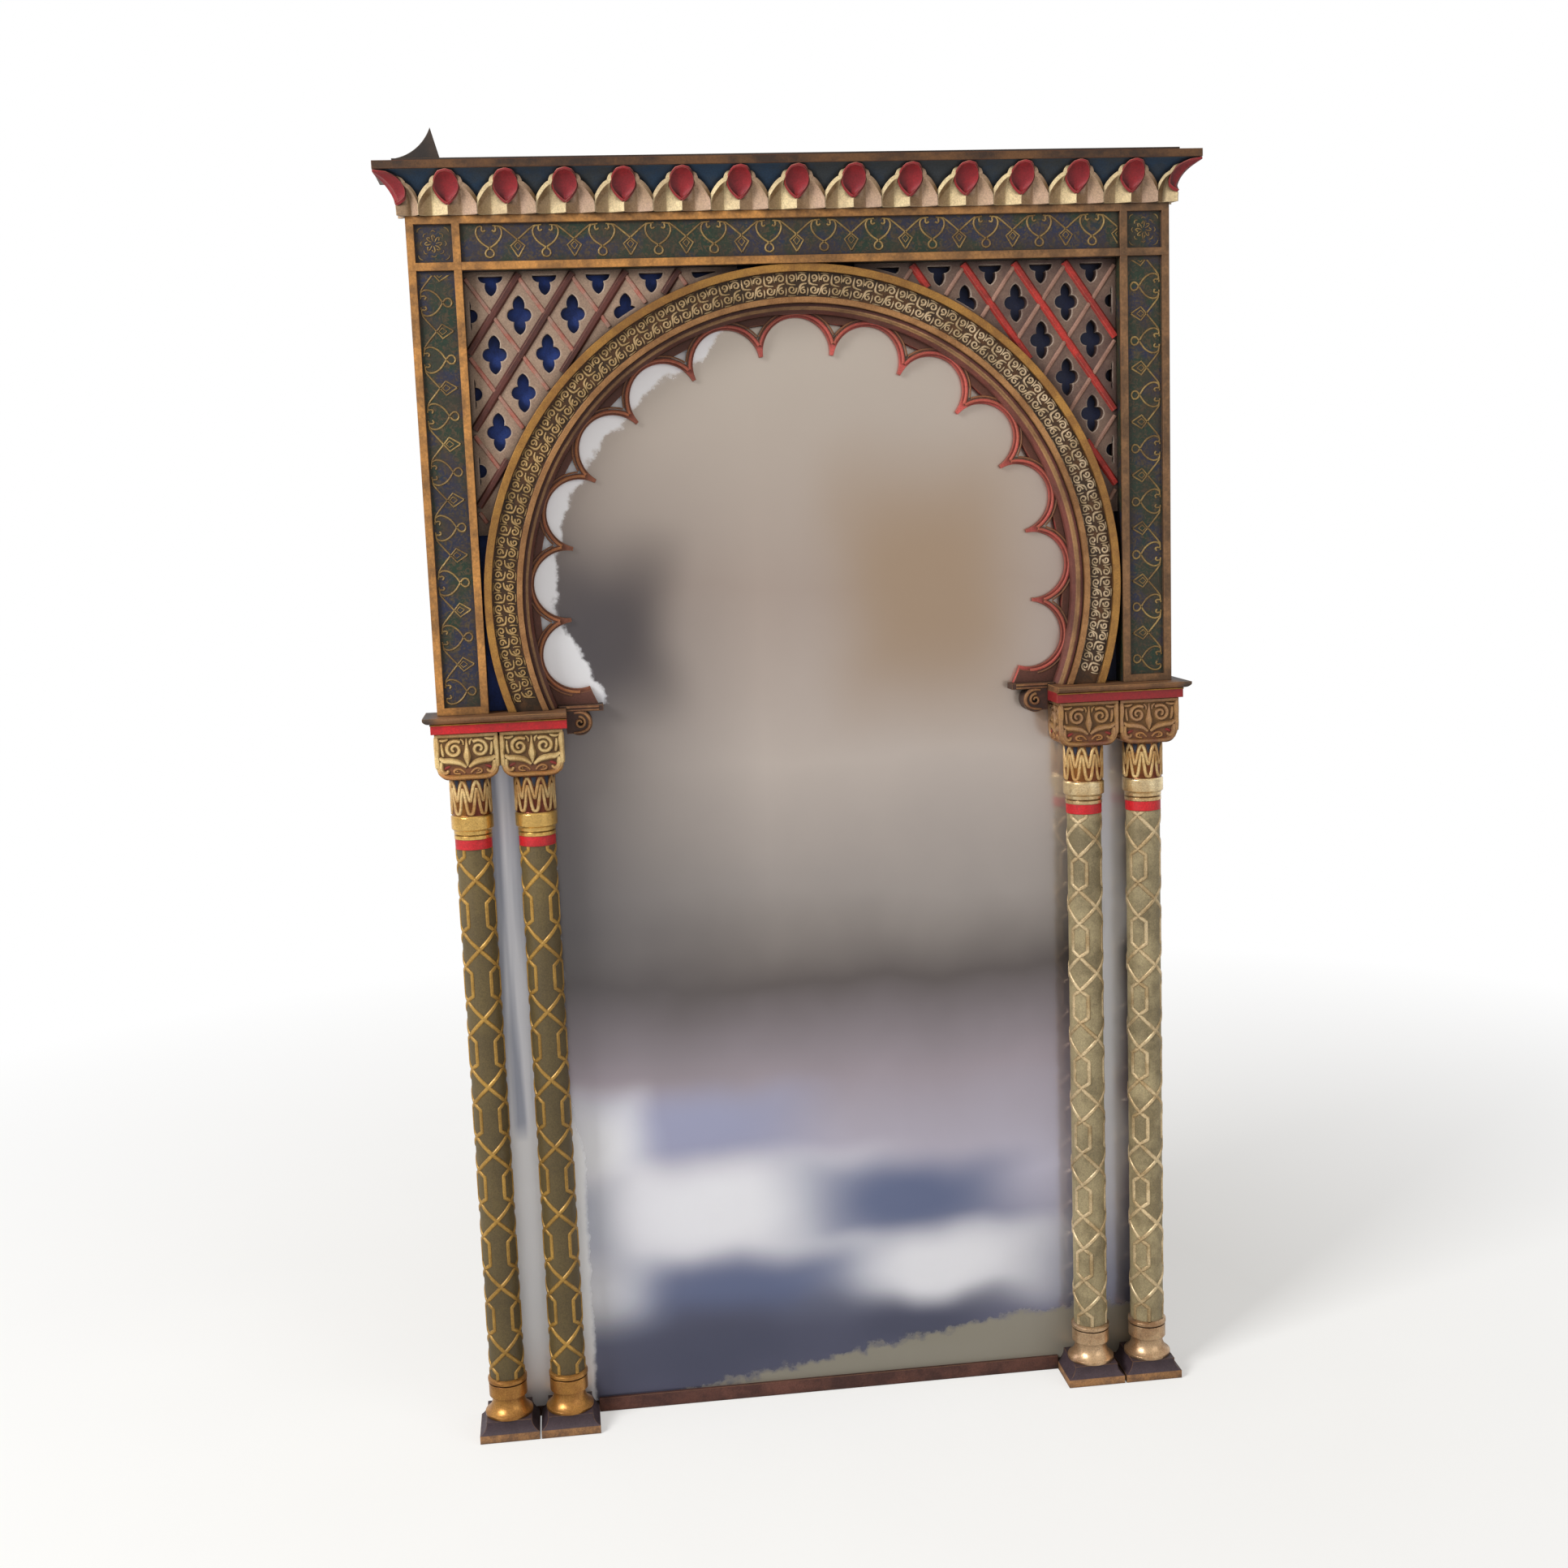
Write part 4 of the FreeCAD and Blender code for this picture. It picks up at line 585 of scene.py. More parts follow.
# Imposts: a red band over each pair of capitals under a dark slab with a rounded lower edge.
# A thin gilt bead is laid along the top of the red band, and the slab's edges are rubbed to the wood.
# The red darkens to the right: painted shade.
impost_red = worn_coat(
    "impost_red", painted_light_and_tone_left_to_right("D01B23", "8E1C20"), "9C181E", "C98A5A", rough=0.5, rub=0.3, dirt_and_shade_amount=0.4)


def side_reach(add, coords):
    """The distance from the mirror's middle plane."""
    return add("Math", {0: add("SeparateXYZ", {"Vector": coords}).outputs["X"]}, "ABSOLUTE")


# Worn to tan over the capitals, and left dark on the ends that stand out.
impost_dark = worn_coat("impost_worn_brown", by_place("8A5E38", "45382F", 402, axis=side_reach, soft_mm=6),
                        "3E2A20", "B88A52", rub=1.0, rub_mm=1.6, patch_mm=32)
bead_gold = worn_coat("bead_gold", "C8963A", "96682E", "6E3A24", rough=0.38, metal=0.5)
BAND_INNER, BAND_OUTER, BAND_FRONT, BAND_BACK, BAND_TOP = 265.6, 407, 84, 24.5, 808
BEAD_WIDTH, BEAD_DROP = 2.0, 1.1
for side, name in ((-1, "left"), (1, "right")):
    dress(impost_red, "impost_band_" + name)
    dress(impost_dark, "impost_slab_" + name)
    route = [
        (side * BAND_INNER, BAND_FRONT), (side * BAND_OUTER, BAND_FRONT), (side * BAND_OUTER, BAND_BACK)]
    bead = carve("impost_bead_" + name, [route], BEAD_WIDTH, kind="POLY")
    lay(bead, lambda u, v, w: (u, -v, BAND_TOP - BEAD_DROP + w))
    edit_whole(bead, bpy.ops.mesh.normals_make_consistent)
    settle(bead, bead_gold, "fillet_gold")

# Corbels: a scroll and a stepped ledge at the inner end of each impost, under the foot of the arch.
# They are sawn from one block, painted brown, and their raised edges are gilded.
corbel_brown = worn_coat("corbel_brown", "4A2C20", "331E18", "A9784A", rub=1.0, rub_mm=1.5)
corbel_edge = worn_coat("corbel_edge_tan", "B98A58", "86583A", "5E3624", rough=0.5, metal=0.15)
SCROLL_X, SCROLL_Z, LEDGE_FRONT = 251, 797.85, 46
scroll = spiral((0, 0), 7.0, 1.6, 1.3, 80, 1, count=20)
sweep = [(6, 10.6, 0.8), (0, 11.6, 1.1), (-6.5, 9.8, 1.3), (-10.8, 4.4, 1.4), (-11.2, -2.4, 1.3),
         (-7.4, -8, 1.1), (0, -10.4, 0.9), (7, -10.6, 0.6)]
ledges = [[(-21.6, 16.8, 1.1), (13.6, 16.8, 1.1)], [(-21.6, 13.6, 0.8), (13.6, 13.6, 0.8)]]
corbel_left = joined("corbel_carving_left", [
    carve("corbel_scroll", [scroll, sweep], 3.0), carve("corbel_ledges", ledges, 2.4, kind="POLY")])
lay(corbel_left, lambda u, v, w: (-SCROLL_X - u, -LEDGE_FRONT - w * 0.9, SCROLL_Z + v))
corbel_left.data.flip_normals()
settle(corbel_left, corbel_edge, "corbel_gilt", both_sides=True)
dress(corbel_brown, "corbel_left", "corbel_right")

# Spandrel ground and lattices: a blue board seen through two pierced nets of cream painted wood.
# V-shaped ribs stand on the nets, maroon one way and a worn red the other; the maroon ribs
# are the bright red of the right-hand net's bold ribs in painted shade.
# The blue ground and the cream lattice darken to the right: painted shade.
dress(worn_coat("ground_blue", painted_light_and_tone_left_to_right("2448A0", "1C2546"), "16244F", "3A4A78", dirt_and_shade_colour="0E1016",
                dirt_and_shade_amount=0.6), "spandrel_ground")
dress(worn_coat("lattice_cream", painted_light_and_tone_left_to_right("AC917B", "60473F"), "8E7462", "DCCBB8", dirt_and_shade_colour="2A1712",
                rub=0.9, rub_mm=3, dirt_and_shade_amount=0.95, hollow_mm=14), "lattice_left", "lattice_right")
LATTICE_FACE, ARCH_CENTRE, ARCH_RADIUS = 50, 926, 344
FIELD_LEFT, FIELD_RIGHT, FIELD_BOTTOM, FIELD_TOP = 63, 345, 1002, 1269
PITCH_X, PITCH_Z, NET_CORNER_X, NET_CORNER_Z = 55.2, 79, 346, 1265
RIB_COUNT, RIB_STEPS, RIB_STEP, SHORTEST_RIB = 12, 260, 1.5, 8


def in_field(x, z):
    """True on the flat of the right-hand net, clear of the arch."""
    clear = hypot(x, z - ARCH_CENTRE) > ARCH_RADIUS + 2
    return clear and FIELD_LEFT < x < FIELD_RIGHT and FIELD_BOTTOM < z < FIELD_TOP


def net_ribs(lean):
    """The ribs of one slope, each cut off where it leaves the field."""
    ribs = []
    for number in range(-RIB_COUNT, RIB_COUNT + 1):
        run = []
        for step in range(-RIB_STEPS, RIB_STEPS + 1):
            x = NET_CORNER_X + number * PITCH_X + step * RIB_STEP
            z = NET_CORNER_Z + lean * step * RIB_STEP * PITCH_Z / PITCH_X
            if in_field(x, z):
                run.append((x, z))
            elif run:
                ribs.append(run)
                run = []
    return [[rib[0], rib[-1]] for rib in ribs if dist(rib[0], rib[-1]) > SHORTEST_RIB]


bright_red = worn_coat("rib_bright_red", "C5352C", "8E2620", "D89A80", patch_mm=30, rub=0.7)
maroon_in_painted_shade = worn_coat("rib_maroon", "5C2A20", "431C16", "A87860", patch_mm=30, rub=0.9)
dusty_pink = worn_coat("rib_dusty_pink", "A9806E", "8E6656", "C8A890", patch_mm=24)
worn_red = worn_coat("rib_worn_red", "AE6656", "A58474", "C8A890", patch_mm=18)
for kind, lean, width, flatten, right_coat, left_coat in (
        ("bold", -1, 8.6, 0.65, bright_red, maroon_in_painted_shade), ("faint", 1, 5.0, 0.6, dusty_pink, worn_red)):
    ribs = carve(f"lattice_ribs_{kind}_right", net_ribs(lean), width, kind="POLY")
    lay(ribs, lambda u, v, w: (u, -LATTICE_FACE - w * flatten, v))
    settle(ribs, right_coat, "lattice_cream")
    settle(twin(ribs, f"lattice_ribs_{kind}_left", flip=True), left_coat, "lattice_cream")

# Border: two stiles, a top rail and two corner blocks round the arch, each a sunk band between fillets.
# The bands are painted dark teal over a hatched ground, with hearts and knots in thin gilt line.


def border_ground(add, coords):
    """A mottled green, blue and brown ground, coarser than the real hatching."""
    mottle = add("TexNoise", {"Vector": coords, "Scale": 1 / (4.5 * MM), "Detail": 3.0, "Distortion": 1.5})
    drift = add("TexNoise", {"Vector": coords, "Scale": 1 / (40 * MM)})
    hue = add("MapRange", {"Value": drift, "From Min": 0.46, "From Max": 0.54})
    cool = add("Mix", {0: hue, 6: "17301F", 7: "1F2540"}, "RGBA")
    fleck = add("MapRange", {"Value": mottle, "From Min": 0.48, "From Max": 0.62})
    return add("Mix", {0: fleck, 6: cool, 7: "4E402A"}, "RGBA")


# Gilt on the fillets, duller to the right as painted shade, and the ground where the band is sunk behind
# them.
border_tone = by_place(painted_light_and_tone_left_to_right("C88C48", "8A6440", 150), border_ground, -62.6, axis="Y", soft_mm=0.2)
border_coat = worn_coat("border_teal_and_gilt", border_tone, "3A2C20", "8A5A34", rough=0.52,
                        metal=0.12, grit_mm=2.6, patch_mm=28)
dress(border_coat, "border_stile_left", "border_stile_right", "border_top", "corner_block_left",
      "corner_block_right")
BAND_FACE, BAND_MIDDLE_X, BAND_LOW, BAND_WIDTH, LINE_RISE = 62, 373, 1278, 38, 0.8
KNOT_PITCH, KNOT_COUNT, LAST_ARMS = 57.6, 12, 30
half_heart = [(3.4, 31.5), (5.6, 29.2), (7.6, 32), (6.2, 35), (10.5, 35.8), (13.4, 31), (12.6, 25),
              (8, 18.5), (0, 13.5), (-4.2, 10.5), (-4.4, 6)]
heart = half_heart + [(0, 3.6)] + [(-u, v) for u, v in reversed(half_heart)]
half_knot = KNOT_PITCH / 2
arm = [(4, 36), (12, 35.2), (17, 31.5), (half_knot, 21.5), (half_knot + 7.2, 15.5), (half_knot, 4)]
arms = [arm, [(KNOT_PITCH - u, v) for u, v in arm]]
inner_square = [(half_knot - 3.4, 15.5), (half_knot, 19), (half_knot + 3.4, 15.5), (half_knot, 11)]


def interlace(name, count):
    """Hearts and knots in a row without the last arms, flat, with the band's lower edge at v = 0."""
    row = joined(name, [carve("hearts", [heart], 2.1), carve("slants", arms, 2.0, kind="POLY"),
                        carve("squares", [inner_square], 1.6, kind="POLY", closed=True)])
    repeat(row, count, (KNOT_PITCH, 0, 0))
    trim(row, (count * KNOT_PITCH - LAST_ARMS, 0, 0), (1, 0, 0))
    return row


line_gold = worn_coat(
    "line_pale_gold", "B0925A", "86683E", "5A4A34", rough=0.45, metal=0.35, patch_mm=26, dirt_and_shade_amount=0.4)
top_row = interlace("border_interlace_top", KNOT_COUNT)
lay(top_row, lambda u, v, w: (u - (KNOT_COUNT - 1) * half_knot, -BAND_FACE - w * LINE_RISE, BAND_LOW + v))
settle(top_row, line_gold, "border_teal")
STILE_LOW, STILE_COUNT, STILE_SHARE, HEART_HALF = 826, 8, 0.99, 13.4
side_row = interlace("border_interlace_left", STILE_COUNT)
lay(side_row, lambda u, v, w: (-BAND_MIDDLE_X + BAND_WIDTH / 2 - v, -BAND_FACE - w * LINE_RISE,
                               STILE_LOW + (u + HEART_HALF) * STILE_SHARE))
settle(side_row, line_gold, "border_teal", both_sides=True)

# Corner rosettes: the sunk squares over the stiles hold a small flower in a ring of fine leaves.
# They are drawn in the same thin gilt line as the border.
ROSETTE_Z = 1297
petal = [(2.2, 0, 0.5), (6, 1.8, 1.2), (10, 0, 0.5), (6, -1.8, 1.2)]
leaflet = [(11.5, 2.5, 0.5), (14.5, 0, 1.0), (11.5, -2.5, 0.5)]
spur = [(16, 11, 0.4), (15.5, 15.5, 1.3), (11, 16, 0.4)]
leaf_strokes = []
for stroke, count in ((petal, 8), (leaflet, 8), (spur, 4)):
    for number in range(count):
        turn = Matrix.Rotation(2 * pi * number / count, 2)
        leaf_strokes.append([(*(turn @ Vector((u, v))), swelling) for u, v, swelling in stroke])
rosette = carve("corner_rosette_left", leaf_strokes, 1.7)
lay(rosette, lambda u, v, w: (-BAND_MIDDLE_X + u, -BAND_FACE - w * LINE_RISE, ROSETTE_Z + v))
settle(rosette, line_gold, "border_teal", both_sides=True)

# Arch band: a ring between two gilt fillets, carved all over with curled leaves on a dark ground.
# The soffit is a dark stepped moulding inside it.
BAND_MIDDLE_RADIUS, SUNK_FACE, LEAF_PITCH, LEAF_COUNT, ARCH_FOOT = 323, 59, 23.4, 52, 815.1
SOFFIT_LINE = 299.5


def arch_reach(add, coords):
    """The distance from the middle of the arch, in the plane of the wall."""
    place = add(
        "Mapping", {"Vector": coords, "Location": (0.0, 0.0, -ARCH_CENTRE * MM), "Scale": (1.0, 0.0, 1.0)})
    return add("VectorMath", {0: place}, "LENGTH")


def off_line(add, coords):
    """The distance from the line along the middle of the soffit's moulding."""
    off = add("Math", {0: arch_reach(add, coords), 1: SOFFIT_LINE * MM}, "SUBTRACT")
    return add("Math", {0: off}, "ABSOLUTE")


# Gold on the outer fillet, pinkish gold on the inner one and dark brown in the sunk band.
fillet_tone = by_place("B08050", "B0803C", BAND_MIDDLE_RADIUS, axis=arch_reach, soft_mm=1)
dress(worn_coat("arch_gilt_and_brown", by_place(fillet_tone, "3C2B1A", -59.9, axis="Y"), "744A26", "7A4A2A",
                rough=0.42, metal=0.35, patch_mm=26), "arch_band")
# Maroon, redder to the right, with a rubbed tan line along the middle of the moulding.
soffit_tone = by_place("B58A5C", painted_light_and_tone_left_to_right("5C3024", "84483E", 100), 1.35, axis=off_line, soft_mm=0.35)
dress(worn_coat("soffit_maroon", soffit_tone, "44221A", "9A6844", rub=0.9), "arch_soffit")
curls = [
    spiral((5.5, 6.2), 5.2, 1.2, 1.35, 200, -1, count=12),
    spiral((17.2, -5.4), 5.2, 1.2, 1.35, 20, -1, count=12),
    spiral((17.0, 7.0), 4.2, 1.1, 1.2, 250, 1, count=10),
    spiral((5.6, -6.8), 4.2, 1.1, 1.2, 70, 1, count=10),
    [(-1, -11, 0.5), (1.5, -4, 1.2), (4, 0.5, 1.2), (9.5, 1.0, 0.6)],
    [(12.4, 11, 0.5), (11.5, 4, 1.2), (13, -0.4, 1.2), (21, -0.6, 0.6)],
    [(0.2, 11.8, 0.5), (4, 12.2, 1.3), (9, 11.4, 0.4)],
    [(12, -11.8, 0.5), (16.5, -12.2, 1.3), (21, -11.6, 0.4)],
    [(10.5, -3, 0.4), (11.4, -7, 1.2), (9.6, -11.6, 0.5)],
    [(22.3, 3, 0.4), (22.8, 7, 1.1), (21.6, 11.6, 0.5)]]
scrolls = carve("arch_scrolls", curls, 2.5, fineness=2)
repeat(scrolls, LEAF_COUNT, (LEAF_PITCH, 0, 0))
half_run = LEAF_COUNT * LEAF_PITCH / 2


def round_arch(u, v, w):
    angle = pi / 2 - (u - half_run) / BAND_MIDDLE_RADIUS
    reach = BAND_MIDDLE_RADIUS + v
    return reach * cos(angle), -SUNK_FACE - w * 1.1, ARCH_CENTRE + reach * sin(angle)


lay(scrolls, round_arch)
trim(scrolls, (0, 0, ARCH_FOOT * MM), (0, 0, -1))
scroll_gold = worn_coat(
    "scroll_cream_gold", painted_light_and_tone_left_to_right("C4A068", "E6CCA8", blend_mm=300), "967A48", "6E522E", dirt_and_shade_colour="241A10",
    rough=0.45, metal=0.2, patch_mm=30, dirt_and_shade_amount=0.8)
settle(scrolls, scroll_gold, "arch_gilt")

# Tracery: a thin ring sawn into thirteen lobes, with pierced cusps between them.
# The sawn edges and the sunk rims of the lobes are a worn red, the face is brown, and a raised tan
# line follows each lobe.
tracery_tone = by_place("62382A", painted_light_and_tone_left_to_right("8E5238", "CE5C54", -110, 110), -33.6, axis="Y", soft_mm=0.2)
dress(
    worn_coat("tracery_brown_and_red", tracery_tone, "5A3024", "B07850", rub=0.9, dirt_and_shade_amount=0.6), "lobed_tracery")
LOBE_COUNT, LOBE_RADIUS, LOBE_CIRCLE, CUSP_CIRCLE, TRACERY_FRONT = 13, 36.2, 256.1, 254.6, 34
FOOT_DROP, LOBE_FOOT, ARC_STEPS = 92.5, 108, 48
foot = asin(FOOT_DROP / CUSP_CIRCLE)
lobe_turn = (pi + 2 * foot) / LOBE_COUNT


def lobe_arc(number, grow, inside):
    """One lobe's edge from cusp to cusp, a little outside the sawn line."""
    turn = -foot + (number + 0.5) * lobe_turn
    centre = Vector((LOBE_CIRCLE * cos(turn), LOBE_CIRCLE * sin(turn)))
    points = []
    for step in range(ARC_STEPS + 1):
        angle = turn - pi * 0.75 + step * pi * 1.5 / ARC_STEPS
        tip = centre + Vector((cos(angle), sin(angle))) * (LOBE_RADIUS + grow)
        bearing = atan2(tip.y, tip.x)
        if bearing < -pi / 2:
            bearing += 2 * pi
        apart = abs(bearing - turn) < lobe_turn / 2
        if apart and tip.length > CUSP_CIRCLE + inside and tip.y > -LOBE_FOOT:
            points.append((tip.x, tip.y + ARCH_CENTRE))
    return points


# The rims turn from orange tan on the left-hand lobes to a worn red at the top and right.
rim_red = worn_coat(
    "rim_worn_red", painted_light_and_tone_left_to_right("B0703F", "CC5A50", -145, 95), "A05038", "D09070", patch_mm=30)
outline_tan = worn_coat("outline_tan", "9A6440", "6E432C", "B58660")
for name, grow, inside, width, sunk, rise, finish in (
        ("tracery_rims", 3.6, 0.5, 3.6, 0.8, 0.9, rim_red),
        ("tracery_outlines", 7.4, 9, 2.0, 0, 0.8, outline_tan)):
    edges = carve(name, [lobe_arc(number, grow, inside) for number in range(LOBE_COUNT)], width, kind="POLY")
    lay(edges, lambda u, v, w: (u, -TRACERY_FRONT + sunk - w * rise, v))
    settle(edges, finish, "tracery_brown")

# Cornice: a painted cove that flares round three sides, with a row of pointed niches along it.
# Each niche has two hollow flutes under a scooped red drop, with painted shade on the walls that face right.
# A gilt fillet and a dark cap lie above.
dress(worn_coat("cove_blue_green", "33393E", "1C3852", "5A5A4E", patch_mm=70, dirt_and_shade_amount=0.5), "cornice_cove")
dress(worn_coat("fillet_gold_brown", "6A4728", "38261A", "8A4A30", rough=0.48, metal=0.2, patch_mm=60),
      "cornice_fillet")
dress(worn_coat("cap_dark_stain", "3A2C22", "271E19", "7A5A3A"), "cornice_cap", "corner_crest")
COVE_FOOT, COVE_FRONT, COVE_SIDE = 1324, 66, 400
COVE_CENTRE_Z, COVE_CENTRE_OUT, COVE_RADIUS = 1327.3, 41.8, 41.8
NICHE_HALF, NICHE_SIDE, HOOD_Z, HOOD_RADIUS, NICHE_PITCH, NICHE_COUNT = 29.4, 10, 27, 12.6, 59.37, 13
FRONT_LIMIT, SIDE_LIMIT, DROP_RADIUS, DROP_FOOT = 93.2, 427.2, 12.2, 11.5
EDGE_RISE, FLUTE_DEPTH, SCOOP_DEPTH, CORNER_ROOM, CORNER_FOLD = 7.6, 6.8, 4.2, 14.6, 4


def cove_out(v):
    """How far the cove stands out from its foot at a height above it."""
    climb = max(0.0, COVE_FOOT + v - COVE_CENTRE_Z)
    return COVE_CENTRE_OUT - sqrt(COVE_RADIUS ** 2 - climb ** 2)


def niche_top(u):
    """The outline of a niche: upright sides, round shoulders and a round hood."""
    if abs(u) < HOOD_RADIUS:
        return HOOD_Z + sqrt(HOOD_RADIUS ** 2 - u * u)
    share = (abs(u) - HOOD_RADIUS) / (NICHE_HALF - HOOD_RADIUS)
    return NICHE_SIDE + (HOOD_Z - NICHE_SIDE) * (1 - share ** 1.7)


def niche_shape(a, b):
    """From the flat grid to (u, v, w): two flutes that meet in an arris, under a raised edge."""
    u = 2 * a * NICHE_HALF
    v = (b + 0.5) * niche_top(u)
    across = abs(abs(2 * a) * 2 - 1)
    flute = 1 - across ** 1.15
    closing = min(1.0, max(0.0, (niche_top(u) - v) / 6)) ** 0.6
    under_drop = min(1.0, max(0.0, (v - 9) / 4)) * max(0.0, 1 - (u / HOOD_RADIUS) ** 4)
    return u, v, (EDGE_RISE - FLUTE_DEPTH * flute * closing) * (1 - under_drop) + 2.5 * under_drop


def drop_shape(a, b):
    """From the flat grid to a scooped drop, round above and pointed below."""
    v = DROP_FOOT + (b + 0.5) * (HOOD_Z + DROP_RADIUS - DROP_FOOT)
    if v > HOOD_Z:
        half = sqrt(max(0.0, DROP_RADIUS ** 2 - (v - HOOD_Z) ** 2))
    else:
        half = DROP_RADIUS * sin(pi / 2 * (v - DROP_FOOT) / (HOOD_Z - DROP_FOOT)) ** 0.9
    u = 2 * a * half
    edge = max(abs(2 * a), abs(2 * b) ** 3)
    return u, v, EDGE_RISE - SCOOP_DEPTH * (1 - edge ** 1.8)


def niche_grid(shape, columns, rows, wall):
    """A grid shaped into one niche or drop, thickened backwards into the cove."""
    bpy.ops.mesh.primitive_grid_add(x_subdivisions=columns, y_subdivisions=rows, size=1)
    piece = bpy.context.object
    for vertex in piece.data.vertices:
        vertex.co = shape(vertex.co.x, vertex.co.y)
    bpy.ops.object.modifier_add(type="SOLIDIFY")
    shell = piece.modifiers[-1]
    shell.thickness = wall
    bpy.ops.object.modifier_apply(modifier=shell.name)
    return piece


def on_front(u, v, w):
    return u, -min(COVE_FRONT + cove_out(v) + w, FRONT_LIMIT), COVE_FOOT + v


def on_corner(u, v, w):
    """Folds a niche round the left front corner, narrower where the cove is narrow."""
    out = cove_out(v)
    along = abs(u) * min(1.0, (CORNER_ROOM + out) / NICHE_HALF)
    inwards = along - w * (1 - min(1.0, along / CORNER_FOLD))
    x, y = (inwards, -w) if u >= 0 else (-w, inwards)
    return max(x - COVE_SIDE - out, -SIDE_LIMIT), max(y - COVE_FRONT - out, -FRONT_LIMIT), COVE_FOOT + v


def niche_row(name, shape, columns, rows, wall):
    """The niches along the front, and one folded round each corner."""
    row = niche_grid(shape, columns, rows, wall)
    corner = twin(row, "corner")
    repeat(row, NICHE_COUNT, (NICHE_PITCH, 0, 0))
    middle = NICHE_PITCH * (NICHE_COUNT - 1) / 2
    lay(row, lambda u, v, w: on_front(u - middle, v, w))
    lay(corner, on_corner)
    return joined(name, [row, corner, twin(corner, "far_corner", flip=True)])


niches = niche_row("cornice_niches", niche_shape, 48, 18, 4.5)
drops = niche_row("cornice_drops", drop_shape, 14, 18, 2.5)


def painted_shade_facing_right(lit, dark):
    """A coat in two tones: the dark one is painted shade on the walls of the hollows that face right."""
    def tone(add, coords):
        wall = add("SeparateXYZ", {"Vector": add("NewGeometry").outputs["Normal"]})
        away = add("MapRange", {"Value": wall.outputs["X"], "From Min": 0.1, "From Max": 0.5})
        return add("Mix", {0: away, 6: tone_of(lit, add, coords), 7: dark}, "RGBA")
    return tone


def niche_cream(add, coords):
    """Cream in the left-hand flute of each niche and a pinkish tan in the right-hand one."""
    parts = add("SeparateXYZ", {"Vector": coords})
    turn = add("Math", {0: parts.outputs["X"], 1: 1 / (NICHE_PITCH * MM), 2: 0.5}, "MULTIPLY_ADD")
    along = add("Math", {0: turn}, "FRACT")
    half = add("MapRange", {"Value": along, "From Min": 0.49, "From Max": 0.51})
    return add("Mix", {0: half, 6: "F4DCA8", 7: "C4A288"}, "RGBA")


# The niches and the drops carry painted shade on their walls that face right.
settle(niches, worn_coat("niche_cream_and_tan", painted_shade_facing_right(niche_cream, "7C5C34"), "B89A78", "E0C8A0",
                         dirt_and_shade_colour="4A3420", patch_mm=35, dirt_and_shade_amount=0.8, hollow_mm=12), "petal_cream")
settle(drops, worn_coat("drop_red", painted_shade_facing_right("A0222A", "58181A"), "80202A", "C98A70", patch_mm=20, dirt_and_shade_amount=0.5,
                        hollow_mm=12), "petal_cream")
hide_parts("cornice_petals")

# Hangers: folded steel straps with a wire ring each, screwed to the hanging rail.
# They are the only pieces that move. Plain drawn wire and strip, dulled with age.
hanger_steel = dull_steel("hanger_steel", "9A968E", "70503A")
dress(hanger_steel, "hanger_strap_left", "hanger_strap_right", "hanger_ring_left", "hanger_ring_right")

# Stage: a pale floor, a soft key from the left and a weak fill from the right.
# The world is white behind the mirror, and a dim warm room in front of it for the plate to show.
bpy.ops.mesh.primitive_circle_add(vertices=96, radius=3.2, fill_type="NGON", location=(0, 0, -0.0006))
floor = bpy.context.object
floor.name = "floor"
bpy.ops.object.transform_apply()
pale_floor, add, coords = start_finish("pale_floor")
cloudy = add("TexNoise", {"Vector": coords, "Scale": 1 / (300 * MM)})
floor_tone = add("Mix", {0: cloudy, 6: "F6F6F4", 7: "F1F1EF"}, "RGBA")
away = add("VectorMath", {0: coords}, "LENGTH")
fade = add("MapRange", {"Value": away, "From Min": 0.6, "From Max": 2.2, "To Min": 0.4})
seen = add("Math", {0: fade, 1: add("LightPath").outputs["Is Camera Ray"]}, "MULTIPLY")
cloth = add("BsdfDiffuse", {"Color": floor_tone, "Roughness": 0.85})
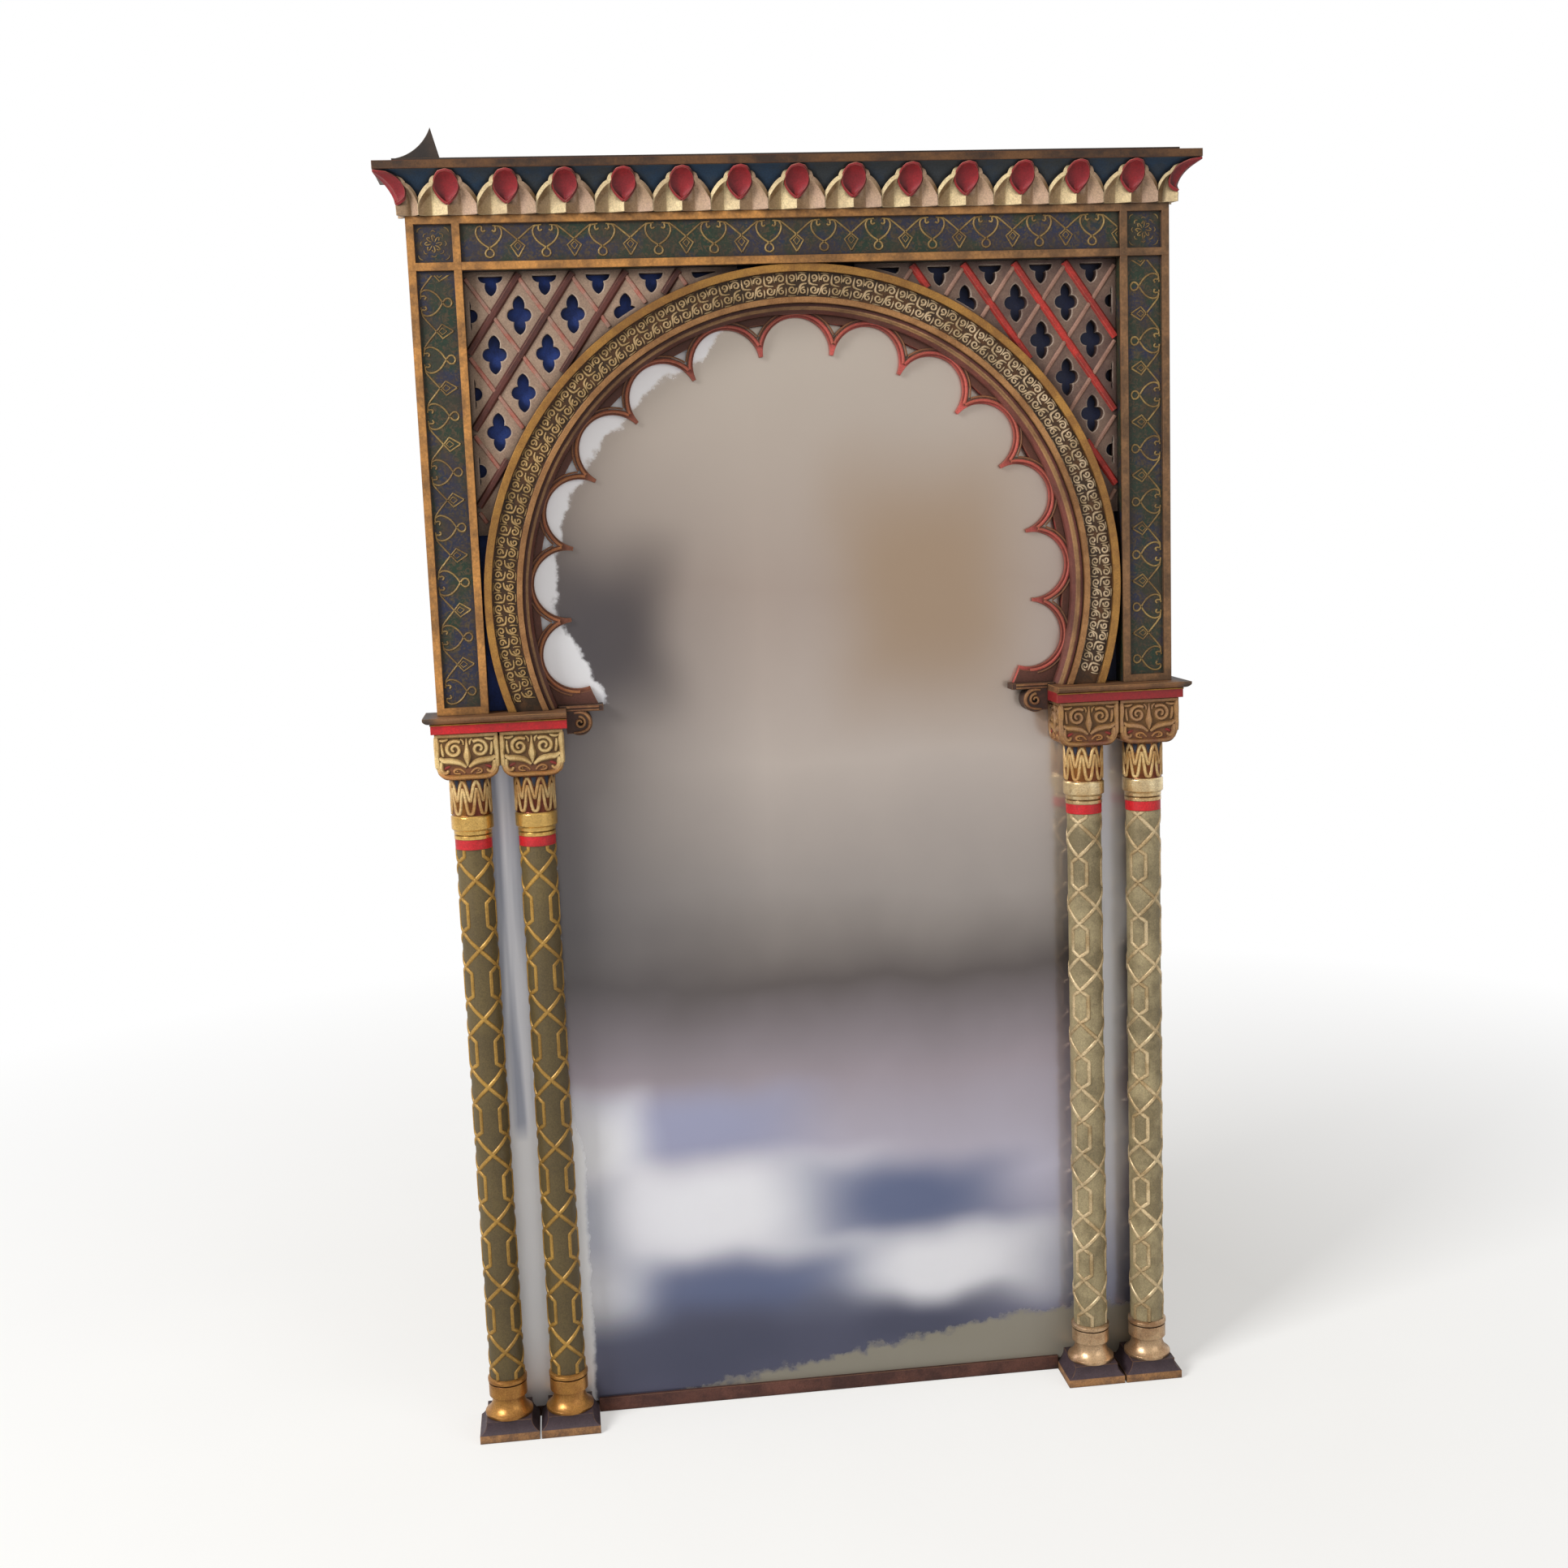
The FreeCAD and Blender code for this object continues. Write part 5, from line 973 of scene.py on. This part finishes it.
blank = add("Emission", {"Color": "FFFFFF"})
blend = add("MixShader", {0: seen, 1: cloth, 2: blank})
add("OutputMaterial", {"Surface": blend})
floor.data.materials.append(pale_floor)

scene = bpy.context.scene
world = bpy.data.worlds.new("studio")
scene.world = world
world.use_nodes = True
world.node_tree.nodes.clear()
add = partial(add_node, world.node_tree)
way = add("SeparateXYZ", {"Vector": add("TexCoord").outputs["Generated"]})
behind = add("MapRange", {"Value": way.outputs["Y"], "From Min": -0.15, "From Max": 0.25})
above = add("MapRange", {"Value": way.outputs["Z"], "From Min": -0.25, "From Max": 0.3})
room_tone = add("Mix", {0: above, 6: "BDBBC4", 7: "E8E2D8"}, "RGBA")
sky = add("Mix", {0: behind, 6: room_tone, 7: "FFFFFF"}, "RGBA")
dim = add("MapRange", {"Value": add("LightPath").outputs["Is Diffuse Ray"], "To Min": 1.0, "To Max": 0.5})
backdrop = add("Mix", {0: add("LightPath").outputs["Is Camera Ray"], 6: sky, 7: "FFFFFF"}, "RGBA")
glow = add("Background", {"Color": backdrop, "Strength": dim})
add("OutputWorld", {"Surface": glow})

for name, spot, size, power in (("key", (-2.5, -1.9, 2.4), 1.3, 92), ("fill", (2.0, -2.4, 1.2), 1.6, 8)):
    bpy.ops.object.light_add(type="AREA", location=spot)
    lamp = bpy.context.object
    lamp.name = name
    lamp.data.size = size
    lamp.data.energy = power
    lamp.rotation_euler = (Vector((0, 0, 0.8)) - Vector(spot)).to_track_quat("-Z", "Y").to_euler()

# Camera: where the photograph was taken from, left of the middle and a little above the imposts.
# Its place, axes and lens are those of a pinhole camera fitted to the photograph.
right, ahead, up = (
    (0.991567, -0.124252, -0.036823), (0.11743, 0.981649, -0.150252), (0.054817, 0.14466, 0.987962))
bpy.ops.object.camera_add(location=(-0.26968, -2.02763, 1.0225))
camera = bpy.context.object
camera.data.sensor_width = 36
camera.data.lens = 42.313
camera.rotation_euler = Matrix((right, up, -Vector(ahead))).transposed().to_euler()
scene.camera = camera
scene.view_settings.view_transform = "Standard"
